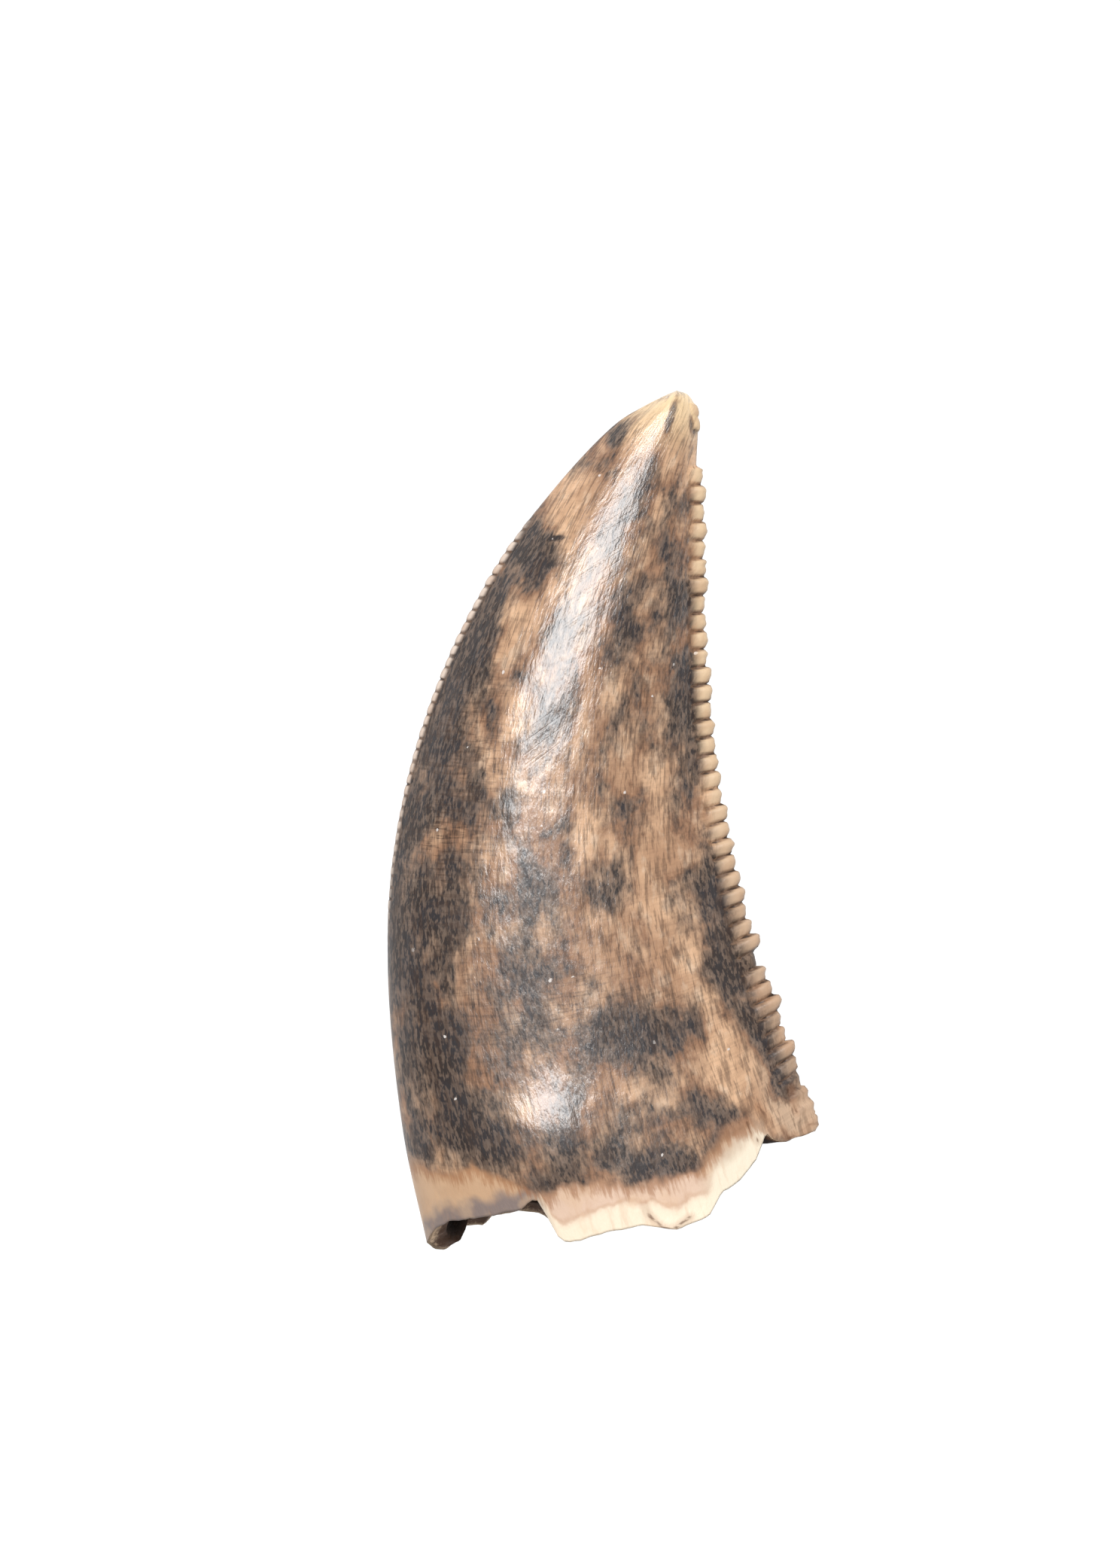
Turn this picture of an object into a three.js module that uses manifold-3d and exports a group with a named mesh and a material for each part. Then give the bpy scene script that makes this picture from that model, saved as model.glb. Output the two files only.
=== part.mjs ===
// A shed tooth crown of Saurornitholestes, a small feathered hunter of the Late Cretaceous, lying on its flatter face.
// Millimetres, +Z up. +X points from the front (mesial) edge to the rear (distal) edge and +Y from the broken base to
// the tip. The origin is below the middle of the crown, on the surface that it rests on.
//
// The crown grew as one piece: a curved blade with two saw-toothed edges, hollow at the broken base where the pulp was.
import * as THREE from "three";
import { mergeVertices } from "three/addons/utils/BufferGeometryUtils.js";
import Module from "manifold-3d";

// Driving dimensions
const CROWN_LENGTH = 11.4; // base to tip, which turns a height in mm into a share of the crown
const REST_HEIGHT = 1.08; // from the resting surface up to the plane of the two cutting edges
const BASE_SAG = 0.5; // how far the middle of the base hangs below the line between its two corners
const PULP_FRONT = 0.05; // how far behind the front edge the cavity begins at the break, as a share of the width
const PULP_REAR = 0.16; // how far before the rear edge it ends there
const PULP_HEIGHT = 0.7; // its height at the break as a share of the crown's
const PULP_MIDDLE = 0.4; // how far across the crown its end lies
const PULP_TOP = 0.42; // how far along the crown it ends
const RIM_BEVEL = 0.14; // how much higher the inner lip of the broken rim is than the outer one
const REAR_BEVEL = 0.3; // how much more than that at the rear, where the rim is widest
const LOWER_FLATNESS = 0.75; // power that flattens the lower face's outline; 1 would make it as round as the upper

// The front edge is a long convex curve and the rear edge a shallow concave one. Both run from base to tip, in x and y.
const FRONT_EDGE = [
  [-2.38, -5.6],
  [-2.7, -4.1],
  [-2.9, -1.9],
  [-2.79, -0.3],
  [-2.42, 1.25],
  [-1.8, 2.73],
  [-0.91, 4.14],
  [0.12, 5.27],
  [0.5, 5.51],
  [0.8, 5.66],
  [0.94, 5.72],
];
const REAR_EDGE = [
  [2.78, -4.12],
  [2.26, -2.75],
  [1.86, -1.55],
  [1.53, -0.2],
  [1.34, 1.1],
  [1.24, 2.5],
  [1.23, 3.8],
  [1.2, 4.7],
  [1.22, 5.25],
  [1.18, 5.52],
  [1.08, 5.67],
  [0.94, 5.72],
];

// Half thicknesses of the two faces along the crown, as [share of the length, mm above or below the edges' plane].
// The upper face swells just above the base and is level above that; the lower face is flattest where it rests.
const UPPER_FACE = [
  [0, 1.14],
  [0.1, 1.24],
  [0.24, 1.16],
  [0.4, 1.12],
  [0.55, 1.02],
  [0.7, 0.82],
  [0.82, 0.58],
  [0.92, 0.35],
  [0.975, 0.2],
  [1, 0.04],
];
const LOWER_FACE = [
  [0, 0.98],
  [0.12, 1.1],
  [0.26, 1.16],
  [0.42, 1.14],
  [0.56, 1.0],
  [0.7, 0.76],
  [0.82, 0.54],
  [0.92, 0.33],
  [0.975, 0.19],
  [1, 0.04],
];

// The broken rim, as [share of the way from the front edge to the rear edge, height of the break on the upper wall,
// height of the break on the lower wall], in mm above the sagging base line. The columns of both faces stand there too.
const BREAK = [
  [0, 0, 0],
  [0.012, 0.1, -0.11],
  [0.035, 0.22, -0.11],
  [0.065, 0.28, 0.04],
  [0.082, 0.3, 0.19],
  [0.14, 0.33, 0.18],
  [0.2, 0.35, 0.33],
  [0.245, 0.4, 0.34],
  [0.272, 0.54, 0.31],
  [0.305, 0.28, 0.24],
  [0.355, 0, 0.12],
  [0.44, 0.02, 0.3],
  [0.53, -0.01, 0.24],
  [0.6, -0.22, 0.18],
  [0.69, -0.21, 0.34],
  [0.74, 0, 0.3],
  [0.78, 0, 0.26],
  [0.84, 0.14, 0.4],
  [0.888, 0.4, 0.42],
  [0.9, 0.25, 0.34],
  [0.925, 0.14, 0.2],
  [0.955, 0.09, 0.1],
  [1, 0, 0],
];

// Rows of the crown between base and tip, and of the pulp cavity between its lip and its end
const CROWN_ROWS = 34;
const PULP_ROWS = 7;
const BREAK_REACH = 0.1; // share of the length over which the rows level out above the ragged break

// The saw teeth: coarse and tall on the rear edge, fine beads on the middle of the front edge. Each pair of values runs
// from the base end to the tip end. odd gives single teeth, counted from the base, a longer or a worn-down reach.
const REAR_TEETH = {
  from: 0.012,
  to: 0.893,
  pitch: [0.205, 0.25],
  reach: [0.18, 0.12],
  depth: 0.3,
  thickness: [0.13, 0.09],
  lean: 0.2,
  steps: [7, 6],
  odd: { 2: 0.7, 8: 1.25, 11: 0.3, 12: 1.3 },
};
const FRONT_TEETH = {
  from: 0.37,
  to: 0.79,
  pitch: [0.145, 0.185],
  reach: [0.03, 0.05],
  depth: 0.09,
  thickness: [0.07, 0.06],
  lean: 0,
  steps: [6, 4],
  odd: {},
};

const wasm = await Module();
wasm.setup();

// A smooth curve through a list of points, with its length shared out evenly from 0 to 1.
const edgeCurve = (points) =>
  new THREE.CatmullRomCurve3(points.map(([x, y]) => new THREE.Vector3(x, y, REST_HEIGHT)), false, "centripetal");
const frontEdge = edgeCurve(FRONT_EDGE);
const rearEdge = edgeCurve(REAR_EDGE);

// The value of a smooth profile, given as [place, value] pairs, at one place.
function valueAt(profile, place) {
  const last = profile.length - 2;
  const i = Math.min(last, Math.max(0, profile.findIndex(([p]) => p > place) - 1 + (place >= 1 ? last + 2 : 0)));
  const slope = (k) => {
    const a = profile[Math.max(0, k - 1)];
    const b = profile[Math.min(last + 1, k + 1)];
    return (b[1] - a[1]) / (b[0] - a[0]);
  };
  const [p0, v0] = profile[i];
  const [p1, v1] = profile[i + 1];
  const step = p1 - p0;
  const t = (place - p0) / step;
  const ease = t * t * (3 - 2 * t);
  return v0 + (v1 - v0) * ease + step * (slope(i) * t * (1 - t) ** 2 - slope(i + 1) * t * t * (1 - t));
}

// The outline of a face from edge to edge: 0 at both edges and 1 at its crest, which lies nearer the front edge.
// The front is round at the base and gets sharper towards the tip.
function bulge(across, along) {
  const front = 0.52 + 0.16 * along;
  const rear = 0.8;
  const crest = front / (front + rear);
  return (across / crest) ** front * ((1 - across) / (1 - crest)) ** rear;
}

// A point in the plane of the two edges. along runs from 0 at the base to 1 at the tip, and across from 0 at the front
// edge to 1 at the rear edge.
function planPoint(along, across) {
  const clamped = THREE.MathUtils.clamp(along, 0, 1);
  const front = frontEdge.getPointAt(clamped);
  const chord = rearEdge.getPointAt(clamped).sub(front);
  const toBase = new THREE.Vector3(chord.y, -chord.x, 0).normalize();
  const sag = BASE_SAG * 4 * across * (1 - across) * (1 - clamped) ** 2;
  return front.addScaledVector(chord, across).addScaledVector(toBase, sag + (clamped - along) * CROWN_LENGTH);
}

// How far a face stands above or below that plane. side is 1 on the upper face and -1 on the lower one.
function faceHeight(along, across, side) {
  const crest = valueAt(side > 0 ? UPPER_FACE : LOWER_FACE, Math.max(0, along));
  return side * crest * bulge(across, along) ** (side > 0 ? 1 : LOWER_FLATNESS);
}

// A point of the outside of the crown.
function crownPoint(along, across, side) {
  const point = planPoint(along, across);
  point.z += faceHeight(along, across, side);
  return point;
}

// One closed ring of values round the crown, made from a function of the break's columns and the side.
function ringOf(make) {
  const upper = BREAK.map(([across, high]) => make(across, 1, high));
  const lower = BREAK.slice(1, -1).map(([across, , high]) => make(across, -1, high));
  return [...upper, ...lower.reverse()];
}

// A ring of the outside at a share of the length, which follows the ragged break near the base.
function crownRing(share) {
  const ragged = (1 - THREE.MathUtils.smoothstep(share, 0, BREAK_REACH)) / CROWN_LENGTH;
  return ringOf((across, side, high) => crownPoint(share + high * ragged, across, side));
}

// A ring of the pulp cavity, from 0 at its lip to 1 at its end: a smaller crown that draws in to its own middle.
function pulpRing(share) {
  const ragged = (1 - share) ** 3 / CROWN_LENGTH;
  const width = Math.sqrt(1 - share ** 1.6);
  return ringOf((across, side, high) => {
    const along = share * PULP_TOP + (high + RIM_BEVEL + REAR_BEVEL * across ** 6) * ragged;
    const inside = across + PULP_FRONT * (1 - across) ** 5 - PULP_REAR * across ** 3;
    const point = planPoint(along, PULP_MIDDLE + (inside - PULP_MIDDLE) * width);
    point.z += faceHeight(along, across, side) * PULP_HEIGHT * width;
    return point;
  });
}

// A closed skin over a row of rings of equal size, with a point at each end.
function skin(firstPole, rings, lastPole) {
  const size = rings[0].length;
  const points = [firstPole, ...rings.flat(), lastPole];
  const faces = [];
  const at = (row, k) => 1 + row * size + (k % size);
  for (let k = 0; k < size; k++) {
    faces.push(0, at(0, k), at(0, k + 1));
    for (let row = 0; row + 1 < rings.length; row++) {
      faces.push(at(row, k), at(row + 1, k), at(row, k + 1));
      faces.push(at(row, k + 1), at(row + 1, k), at(row + 1, k + 1));
    }
    faces.push(at(rings.length - 1, k + 1), at(rings.length - 1, k), points.length - 1);
  }
  return new THREE.BufferGeometry().setFromPoints(points).setIndex(faces);
}

// The crown without its saw teeth: one skin from the tip down the outside, over the broken rim and up the cavity.
function crownBody() {
  const down = Array.from({ length: CROWN_ROWS }, (_, i) => 1 - ((i + 0.6) / (CROWN_ROWS - 0.4)) ** 1.3);
  const up = Array.from({ length: PULP_ROWS }, (_, i) => i / PULP_ROWS);
  const rings = [...down.map(crownRing), ...up.map(pulpRing)];
  return skin(frontEdge.getPointAt(1), rings, planPoint(PULP_TOP, PULP_MIDDLE));
}

// A row of saw teeth along an edge. Each is a rounded lobe, set across the edge and leaning towards the tip.
function sawTeeth(edge, outwards, row) {
  const teeth = [];
  const length = edge.getLength();
  const up = new THREE.Vector3(0, 0, 1);
  for (let along = row.from; along < row.to; ) {
    const share = (along - row.from) / (row.to - row.from);
    const [pitch, usual, thickness] = [row.pitch, row.reach, row.thickness].map(([a, b]) => a + (b - a) * share);
    const reach = usual * (row.odd[teeth.length] ?? 1);
    const tangent = edge.getTangentAt(along);
    const outward = new THREE.Vector3().crossVectors(tangent, up).multiplyScalar(outwards);
    const long = outward.clone().addScaledVector(tangent, row.lean).normalize();
    const wide = new THREE.Vector3().crossVectors(up, long);
    const lobe = new THREE.SphereGeometry(1, ...row.steps);
    lobe.scale((reach + row.depth) / 2, pitch * 0.46, thickness);
    lobe.translate((reach - row.depth) / 2, 0, 0);
    lobe.applyMatrix4(new THREE.Matrix4().makeBasis(long, wide, up).setPosition(edge.getPointAt(along)));
    teeth.push(solidOf(lobe));
    along += pitch / length;
  }
  return teeth;
}

// A geometry as a solid that can be cut and joined.
function solidOf(geometry) {
  const bare = new THREE.BufferGeometry().setAttribute("position", geometry.getAttribute("position"));
  bare.setIndex(geometry.index);
  const merged = mergeVertices(bare, 1e-5);
  return new wasm.Manifold(
    new wasm.Mesh({
      numProp: 3,
      vertProperties: merged.attributes.position.array,
      triVerts: new Uint32Array(merged.index.array),
    }),
  );
}

// A solid as a geometry with flat-shaded faces.
function geometryOf(solid) {
  const { vertProperties, triVerts } = solid.getMesh();
  const geometry = new THREE.BufferGeometry();
  geometry.setAttribute("position", new THREE.BufferAttribute(vertProperties, 3));
  geometry.setIndex(new THREE.BufferAttribute(triVerts, 1));
  const faceted = geometry.toNonIndexed();
  faceted.computeVertexNormals();
  return faceted;
}

// Everything under the resting surface, which cuts the small flat spot on the lower face.
function belowSurface() {
  const block = new THREE.BoxGeometry(20, 20, 4);
  block.translate(0, 0, -2);
  return solidOf(block);
}

// Moves a solid in the plane of the resting surface until the origin is below the middle of its extents.
function centred(solid) {
  const { min, max } = solid.boundingBox();
  return solid.translate([-(min[0] + max[0]) / 2, -(min[1] + max[1]) / 2, 0]);
}

const stainedEnamel = new THREE.MeshStandardMaterial({ color: 0x7d6450, roughness: 0.35, metalness: 0 });
const fused = [...sawTeeth(rearEdge, 1, REAR_TEETH), ...sawTeeth(frontEdge, -1, FRONT_TEETH)].reduce(
  (whole, tooth) => whole.add(tooth),
  solidOf(crownBody()),
);
const crown = new THREE.Mesh(geometryOf(centred(fused.subtract(belowSurface()))), stainedEnamel);
crown.name = "tooth_crown";

const tooth = new THREE.Group();
tooth.add(crown);
export default tooth;
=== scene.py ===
"""Looks of one loose fossil tooth crown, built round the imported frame.

The crown is a recurved blade that lies on its flatter face. +X points from its front edge to its rear edge,
+Y from the broken base to the tip and +Z up. Sizes in the classes are in millimetres, and MM turns them
into metres.
"""

import logging
from dataclasses import dataclass, field
from enum import Enum

import bpy
import numpy as np
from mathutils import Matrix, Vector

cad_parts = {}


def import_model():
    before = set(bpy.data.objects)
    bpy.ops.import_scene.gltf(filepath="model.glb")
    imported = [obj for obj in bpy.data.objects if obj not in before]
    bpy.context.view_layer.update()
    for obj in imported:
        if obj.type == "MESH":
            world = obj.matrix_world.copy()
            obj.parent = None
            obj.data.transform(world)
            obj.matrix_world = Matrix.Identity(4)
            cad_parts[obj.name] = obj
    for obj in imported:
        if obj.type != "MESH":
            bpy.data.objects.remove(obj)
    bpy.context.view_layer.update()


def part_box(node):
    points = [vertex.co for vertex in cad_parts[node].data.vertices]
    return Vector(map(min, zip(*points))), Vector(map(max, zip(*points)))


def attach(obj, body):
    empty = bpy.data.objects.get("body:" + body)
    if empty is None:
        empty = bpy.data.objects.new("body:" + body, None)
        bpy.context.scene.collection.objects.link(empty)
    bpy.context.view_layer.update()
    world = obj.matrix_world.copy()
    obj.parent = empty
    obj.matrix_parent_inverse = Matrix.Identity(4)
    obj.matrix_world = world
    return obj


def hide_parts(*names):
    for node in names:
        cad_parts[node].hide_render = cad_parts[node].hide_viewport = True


MM = 0.001
Array = np.ndarray
Pair = tuple[float, float]
Pairs = tuple[Pair, ...]
Colour = tuple[int, int, int]
Socket = bpy.types.NodeSocket
Sockets = dict[str, Socket]
Value = Socket | float | tuple[float, ...]
Groups = dict[str, bpy.types.NodeTree]
log = logging.getLogger("tooth")


class Side(Enum):
    """A face of the crown, by the sign of its height above the plane of the two edges."""

    UPPER = 1
    LOWER = -1


def smoothstep(value: Array, low: float, high: float) -> Array:
    """Eases from 0 at low to 1 at high.

    Args:
        value: where to evaluate it.
        low: the value that gives 0. It may be larger than high.
        high: the value that gives 1.

    Returns:
        An array of the same shape, from 0 to 1.
    """
    t = np.clip((value - low) / (high - low), 0.0, 1.0)
    return t * t * (3.0 - 2.0 * t)


def between(ends: Pair, share: Array | float) -> Array | float:
    """Goes evenly from the first value to the second as the share goes from 0 to 1."""
    return ends[0] + (ends[1] - ends[0]) * share


def profile(pairs: Pairs, place: Array) -> Array:
    """A smooth curve through (place, value) pairs: cubic, with each slope taken from the two neighbours.

    Args:
        pairs: the points of the curve, in order of place.
        place: where to evaluate it.

    Returns:
        The values, in the shape of place.
    """
    x, y = np.array(pairs).T
    k = np.arange(len(x))
    before, after = np.maximum(k - 1, 0), np.minimum(k + 1, len(x) - 1)
    slope = (y[after] - y[before]) / (x[after] - x[before])
    i = np.clip(np.searchsorted(x, place, side="right") - 1, 0, len(x) - 2)
    step = x[i + 1] - x[i]
    t = (place - x[i]) / step
    ease = t * t * (3.0 - 2.0 * t)
    bend = slope[i] * t * (1.0 - t) ** 2 - slope[i + 1] * t * t * (1.0 - t)
    return y[i] + (y[i + 1] - y[i]) * ease + step * bend


@dataclass(frozen=True)
class Ripples:
    """Smooth random waves: the mean of many sine waves of random direction and phase, of about one length.

    Args:
        height: of the waves, in mm.
        size: typical wavelength, in mm.
        seed: which set of waves.
        waves: number of sine waves.
        loudness: factor that brings their mean to about the height.
    """

    height: float
    size: float
    seed: int
    waves: int = 14
    loudness: float = 1.6

    def at(self, u: Array, v: Array) -> Array:
        """Height of the waves.

        Args:
            u: first coordinate, in mm.
            v: second coordinate, in mm.

        Returns:
            Values about zero.
        """
        rng = np.random.default_rng(self.seed)
        total = np.zeros(np.broadcast(u, v).shape)
        angles = rng.uniform(0, np.pi, self.waves)
        phases = rng.uniform(0, 6.28, self.waves)
        stretches = rng.uniform(0.6, 1.5, self.waves)
        for angle, phase, stretch in zip(angles, phases, stretches):
            place = u * np.cos(angle) + v * np.sin(angle)
            total += np.sin(place * 2.0 * np.pi * stretch / self.size + phase)
        return self.height * (total * (self.loudness / self.waves))


def rough(layers: tuple[Ripples, ...], u: Array, v: Array) -> Array:
    """Sum of several sets of ripples at the same places."""
    return sum(layer.at(u, v) for layer in layers)


@dataclass(frozen=True)
class EdgeLine:
    """A cutting edge: a smooth curve through a few points, measured along its own length.

    Args:
        points: x and y of each point in mm, from the base to the tip.
    """

    points: Pairs

    def trace(self) -> tuple[Array, Array]:
        """Follows the edge as a centripetal Catmull-Rom curve, with both ends carried on straight.

        Returns:
            The points of the curve, and how far along the curve each one is, in mm.
        """
        p = np.array(self.points)
        p = np.vstack([2.0 * p[0] - p[1], p, 2.0 * p[-1] - p[-2]])
        step = np.sqrt(np.linalg.norm(np.diff(p, axis=0), axis=1))[:, None]
        chord = np.diff(p, axis=0) / step
        slope = chord[:-1] + chord[1:] - (p[2:] - p[:-2]) / (step[1:] + step[:-1])
        start, stop, width = p[1:-2, None], p[2:-1, None], step[1:-1, None]
        t = np.linspace(0.0, 1.0, 60)[None, :, None]
        curve = start + (stop - start) * t * t * (3.0 - 2.0 * t)
        curve = curve + width * (slope[:-1, None] * t * (1.0 - t) ** 2 - slope[1:, None] * t * t * (1.0 - t))
        curve = curve.reshape(-1, 2)
        gone = np.concatenate([[0.0], np.cumsum(np.linalg.norm(np.diff(curve, axis=0), axis=1))])
        return curve, gone

    @property
    def length(self) -> float:
        """Length of the edge in mm."""
        return float(self.trace()[1][-1])

    def at(self, share: Array) -> Array:
        """Points at shares of the length.

        Args:
            share: 0 at the base, 1 at the tip.

        Returns:
            x and y on a new last axis.
        """
        curve, gone = self.trace()
        place = share * gone[-1]
        return np.stack([np.interp(place, gone, curve[:, 0]), np.interp(place, gone, curve[:, 1])], axis=-1)


@dataclass(frozen=True)
class SawRow:
    """A row of saw teeth on one edge. Each pair of values runs from the base end to the tip end.

    Args:
        start: share of the edge where the first tooth stands.
        stop: share where the row ends.
        pitch: distance between teeth, in mm.
        reach: how far a tooth stands out of the edge, in mm.
        depth: how far it can be followed onto the faces, in mm.
        thickness: half its thickness, in mm.
        lean: how far it leans to the tip, as a share of its length.
        uneven: how much the teeth differ in reach, as a share.
        blunt: power of a tooth's outline, where 2 is an ellipse and more is blocky.
        web: share of the reach that is filled between the teeth.
        hook: how far a tooth's peak is moved towards the tip, as a share of half its pitch.
        taper: number of teeth over which the row grows from nothing, at each end.
        fused: how far the first few teeth are worn together into a block, from 0 to 1.
        fused_end: numbers of the teeth between which that wear ends.
        breadth: share of its pitch that a tooth fills.
        slit_power: power that makes the slits narrow.
        nose: distance from the edge over which a tooth's face rounds off, in mm.
        odd: number of a tooth from the base and the factor on its reach, for the worn and the long ones.
        seed: which set of random reaches.
    """

    start: float
    stop: float
    pitch: Pair
    reach: Pair
    depth: Pair
    thickness: Pair
    lean: float
    uneven: float
    blunt: Pair
    web: float
    hook: float = 0.0
    taper: float = 0.3
    fused: float = 0.0
    fused_end: Pair = (1.5, 3.5)
    breadth: float = 0.97
    slit_power: int = 8
    nose: float = 0.05
    odd: tuple[tuple[int, float], ...] = ()
    seed: int = 11

    def centres(self, length: float) -> Array:
        """Where each tooth stands, as a share of the edge.

        Args:
            length: length of the edge in mm.

        Returns:
            One share for each tooth, from the base on.
        """
        places = []
        along = self.start
        while along < self.stop:
            places.append(along)
            done = (along - self.start) / (self.stop - self.start)
            along += between(self.pitch, done) / length
        return np.array(places)

    def reaches(self, count: int) -> Array:
        """How far each tooth stands out of the edge, in mm.

        Args:
            count: number of teeth.

        Returns:
            One reach for each tooth.
        """
        rng = np.random.default_rng(self.seed)
        reach = np.linspace(*self.reach, count) * (1.0 + self.uneven * rng.uniform(-1.0, 1.0, count))
        for number, factor in self.odd:
            reach[number] *= factor
        return reach

    def relief(self, along: Array, inward: Array, length: float) -> "Relief":
        """The shape that the row gives to the crown near its edge.

        A tooth's outline is a half superellipse over its pitch, and it fades inward over the depth. Between
        two teeth there is a slit. It is narrow, as a high power of the distance from a tooth's middle is
        small except near 1.

        Args:
            along: share of the edge, for each point of the crown.
            inward: distance from the edge, in mm.
            length: length of the edge, in mm.

        Returns:
            The relief, in arrays of the same shape.
        """
        centres = self.centres(length)
        count = len(centres)
        before, after = 2.0 * centres[0] - centres[1], 2.0 * centres[-1] - centres[-2]
        marks = np.concatenate([[before], centres, [after]])
        number = np.interp(along + self.lean * inward / length, marks, np.arange(-1, count + 1))
        nearest = np.clip(np.round(number), 0, count - 1).astype(int)
        ahead = (number - nearest) * 2.0 - self.hook
        off = np.abs(ahead) / (1.0 - self.hook * np.sign(ahead))
        done = nearest / (count - 1)
        deep = inward / between(self.depth, done)
        reach = self.reaches(count)[nearest]
        worn = np.clip(reach / np.linspace(*self.reach, count)[nearest], 0.0, 1.2)
        blunt = between(self.blunt, done)
        lobe = np.clip(1.0 - (off / self.breadth) ** blunt, 0.0, 1.0) ** (1.0 / blunt)
        fused = (1.0 - smoothstep(number, *self.fused_end)) * self.fused
        lobe = np.maximum(lobe, 0.85 * fused)
        gap = (1.0 - lobe) * smoothstep(deep, 0.4, 0.0)
        slit = np.maximum(np.clip(off, 0.0, 1.0) ** self.slit_power, gap) * (1.0 - fused)
        nose = np.sqrt(np.clip(1.0 - (1.0 - np.clip(inward / self.nose, 0.0, 1.0)) ** 2, 0.0, 1.0))
        row = smoothstep(number, -0.6, self.taper - 0.6)
        row = row * smoothstep(number, count - 0.4, count - 0.4 - self.taper)
        swell = between(self.thickness, done) * nose * lobe * np.clip(1.0 - deep, 0.0, 1.0)
        pale = smoothstep(deep, 1.15, 0.1) * np.maximum(smoothstep(off, 1.0, 0.6), fused)
        pale = pale * np.clip(worn, 0.35, 1.0) * (0.65 + 0.35 * smoothstep(done, 0.1, 0.6))
        return Relief(
            out=reach * (self.web + (1.0 - self.web) * lobe) * smoothstep(deep, 1.0, 0.15) * row,
            swell=swell * row * worn * (1.0 - 0.9 * fused),
            slit=slit * smoothstep(deep, 1.1, 0.6) * row * worn,
            ivory=pale * row,
        )


@dataclass(frozen=True)
class Relief:
    """What a saw row does at each point of the crown.

    Args:
        out: distance that the point moves out of the edge, in mm.
        swell: thickness that the tooth adds to each face, in mm.
        slit: 1 in the slits between teeth and 0 elsewhere.
        ivory: 1 on the teeth and 0 on the faces.
    """

    out: Array
    swell: Array
    slit: Array
    ivory: Array


@dataclass(frozen=True)
class Saws:
    """The reliefs of the crown's saw rows.

    Args:
        rear: of the coarse row on the rear edge.
        last: of the last small teeth on the rear edge.
        front: of the fine row on the front edge.
    """

    rear: Relief
    last: Relief
    front: Relief

    @property
    def swell(self) -> Array:
        """Thickness that the teeth add to each face, in mm."""
        return self.rear.swell + self.last.swell + self.front.swell

    @property
    def slit(self) -> Array:
        """1 in the slits between teeth and 0 elsewhere."""
        return np.maximum(self.rear.slit, self.front.slit)

    @property
    def ivory(self) -> Array:
        """1 on the teeth and 0 on the faces."""
        return np.maximum(np.maximum(self.rear.ivory, self.last.ivory), self.front.ivory)


@dataclass(frozen=True)
class Patch:
    """A soft oval area where the stain or the colour differs.

    Args:
        x: its middle, in mm.
        y: its middle, in mm.
        across: half its width, in mm.
        along: half its length, in mm.
        tilt: turn of its long axis from +Y towards +X, in degrees.
        amount: how much it adds, or takes away if negative.
    """

    x: float
    y: float
    across: float
    along: float
    tilt: float
    amount: float

    def weight(self, x: Array, y: Array) -> Array:
        """The patch's share at each point, as a bell curve of the distance in half widths.

        Args:
            x: x of each point in mm.
            y: y of each point in mm.

        Returns:
            amount in the middle, falling to nothing outside.
        """
        turn = np.radians(self.tilt)
        dx, dy = x - self.x, y - self.y
        u = (dx * np.cos(turn) - dy * np.sin(turn)) / self.across
        v = (dx * np.sin(turn) + dy * np.cos(turn)) / self.along
        return self.amount * np.exp(-(u * u + v * v) ** 1.3)


@dataclass(frozen=True)
class Crack:
    """A thin crack: a line through a few points.

    Args:
        points: x and y of each point, in mm.
    """

    points: Pairs

    def distance(self, x: Array, y: Array) -> Array:
        """Distance to the nearest stretch of the line, each one met at its nearest point.

        Args:
            x: x of each point in mm.
            y: y of each point in mm.

        Returns:
            The distance in mm.
        """
        nearest = np.full(x.shape, np.inf)
        for (x0, y0), (x1, y1) in zip(self.points[:-1], self.points[1:]):
            dx, dy = x1 - x0, y1 - y0
            t = np.clip(((x - x0) * dx + (y - y0) * dy) / (dx * dx + dy * dy), 0.0, 1.0)
            nearest = np.minimum(nearest, np.hypot(x - x0 - t * dx, y - y0 - t * dy))
        return nearest


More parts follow.
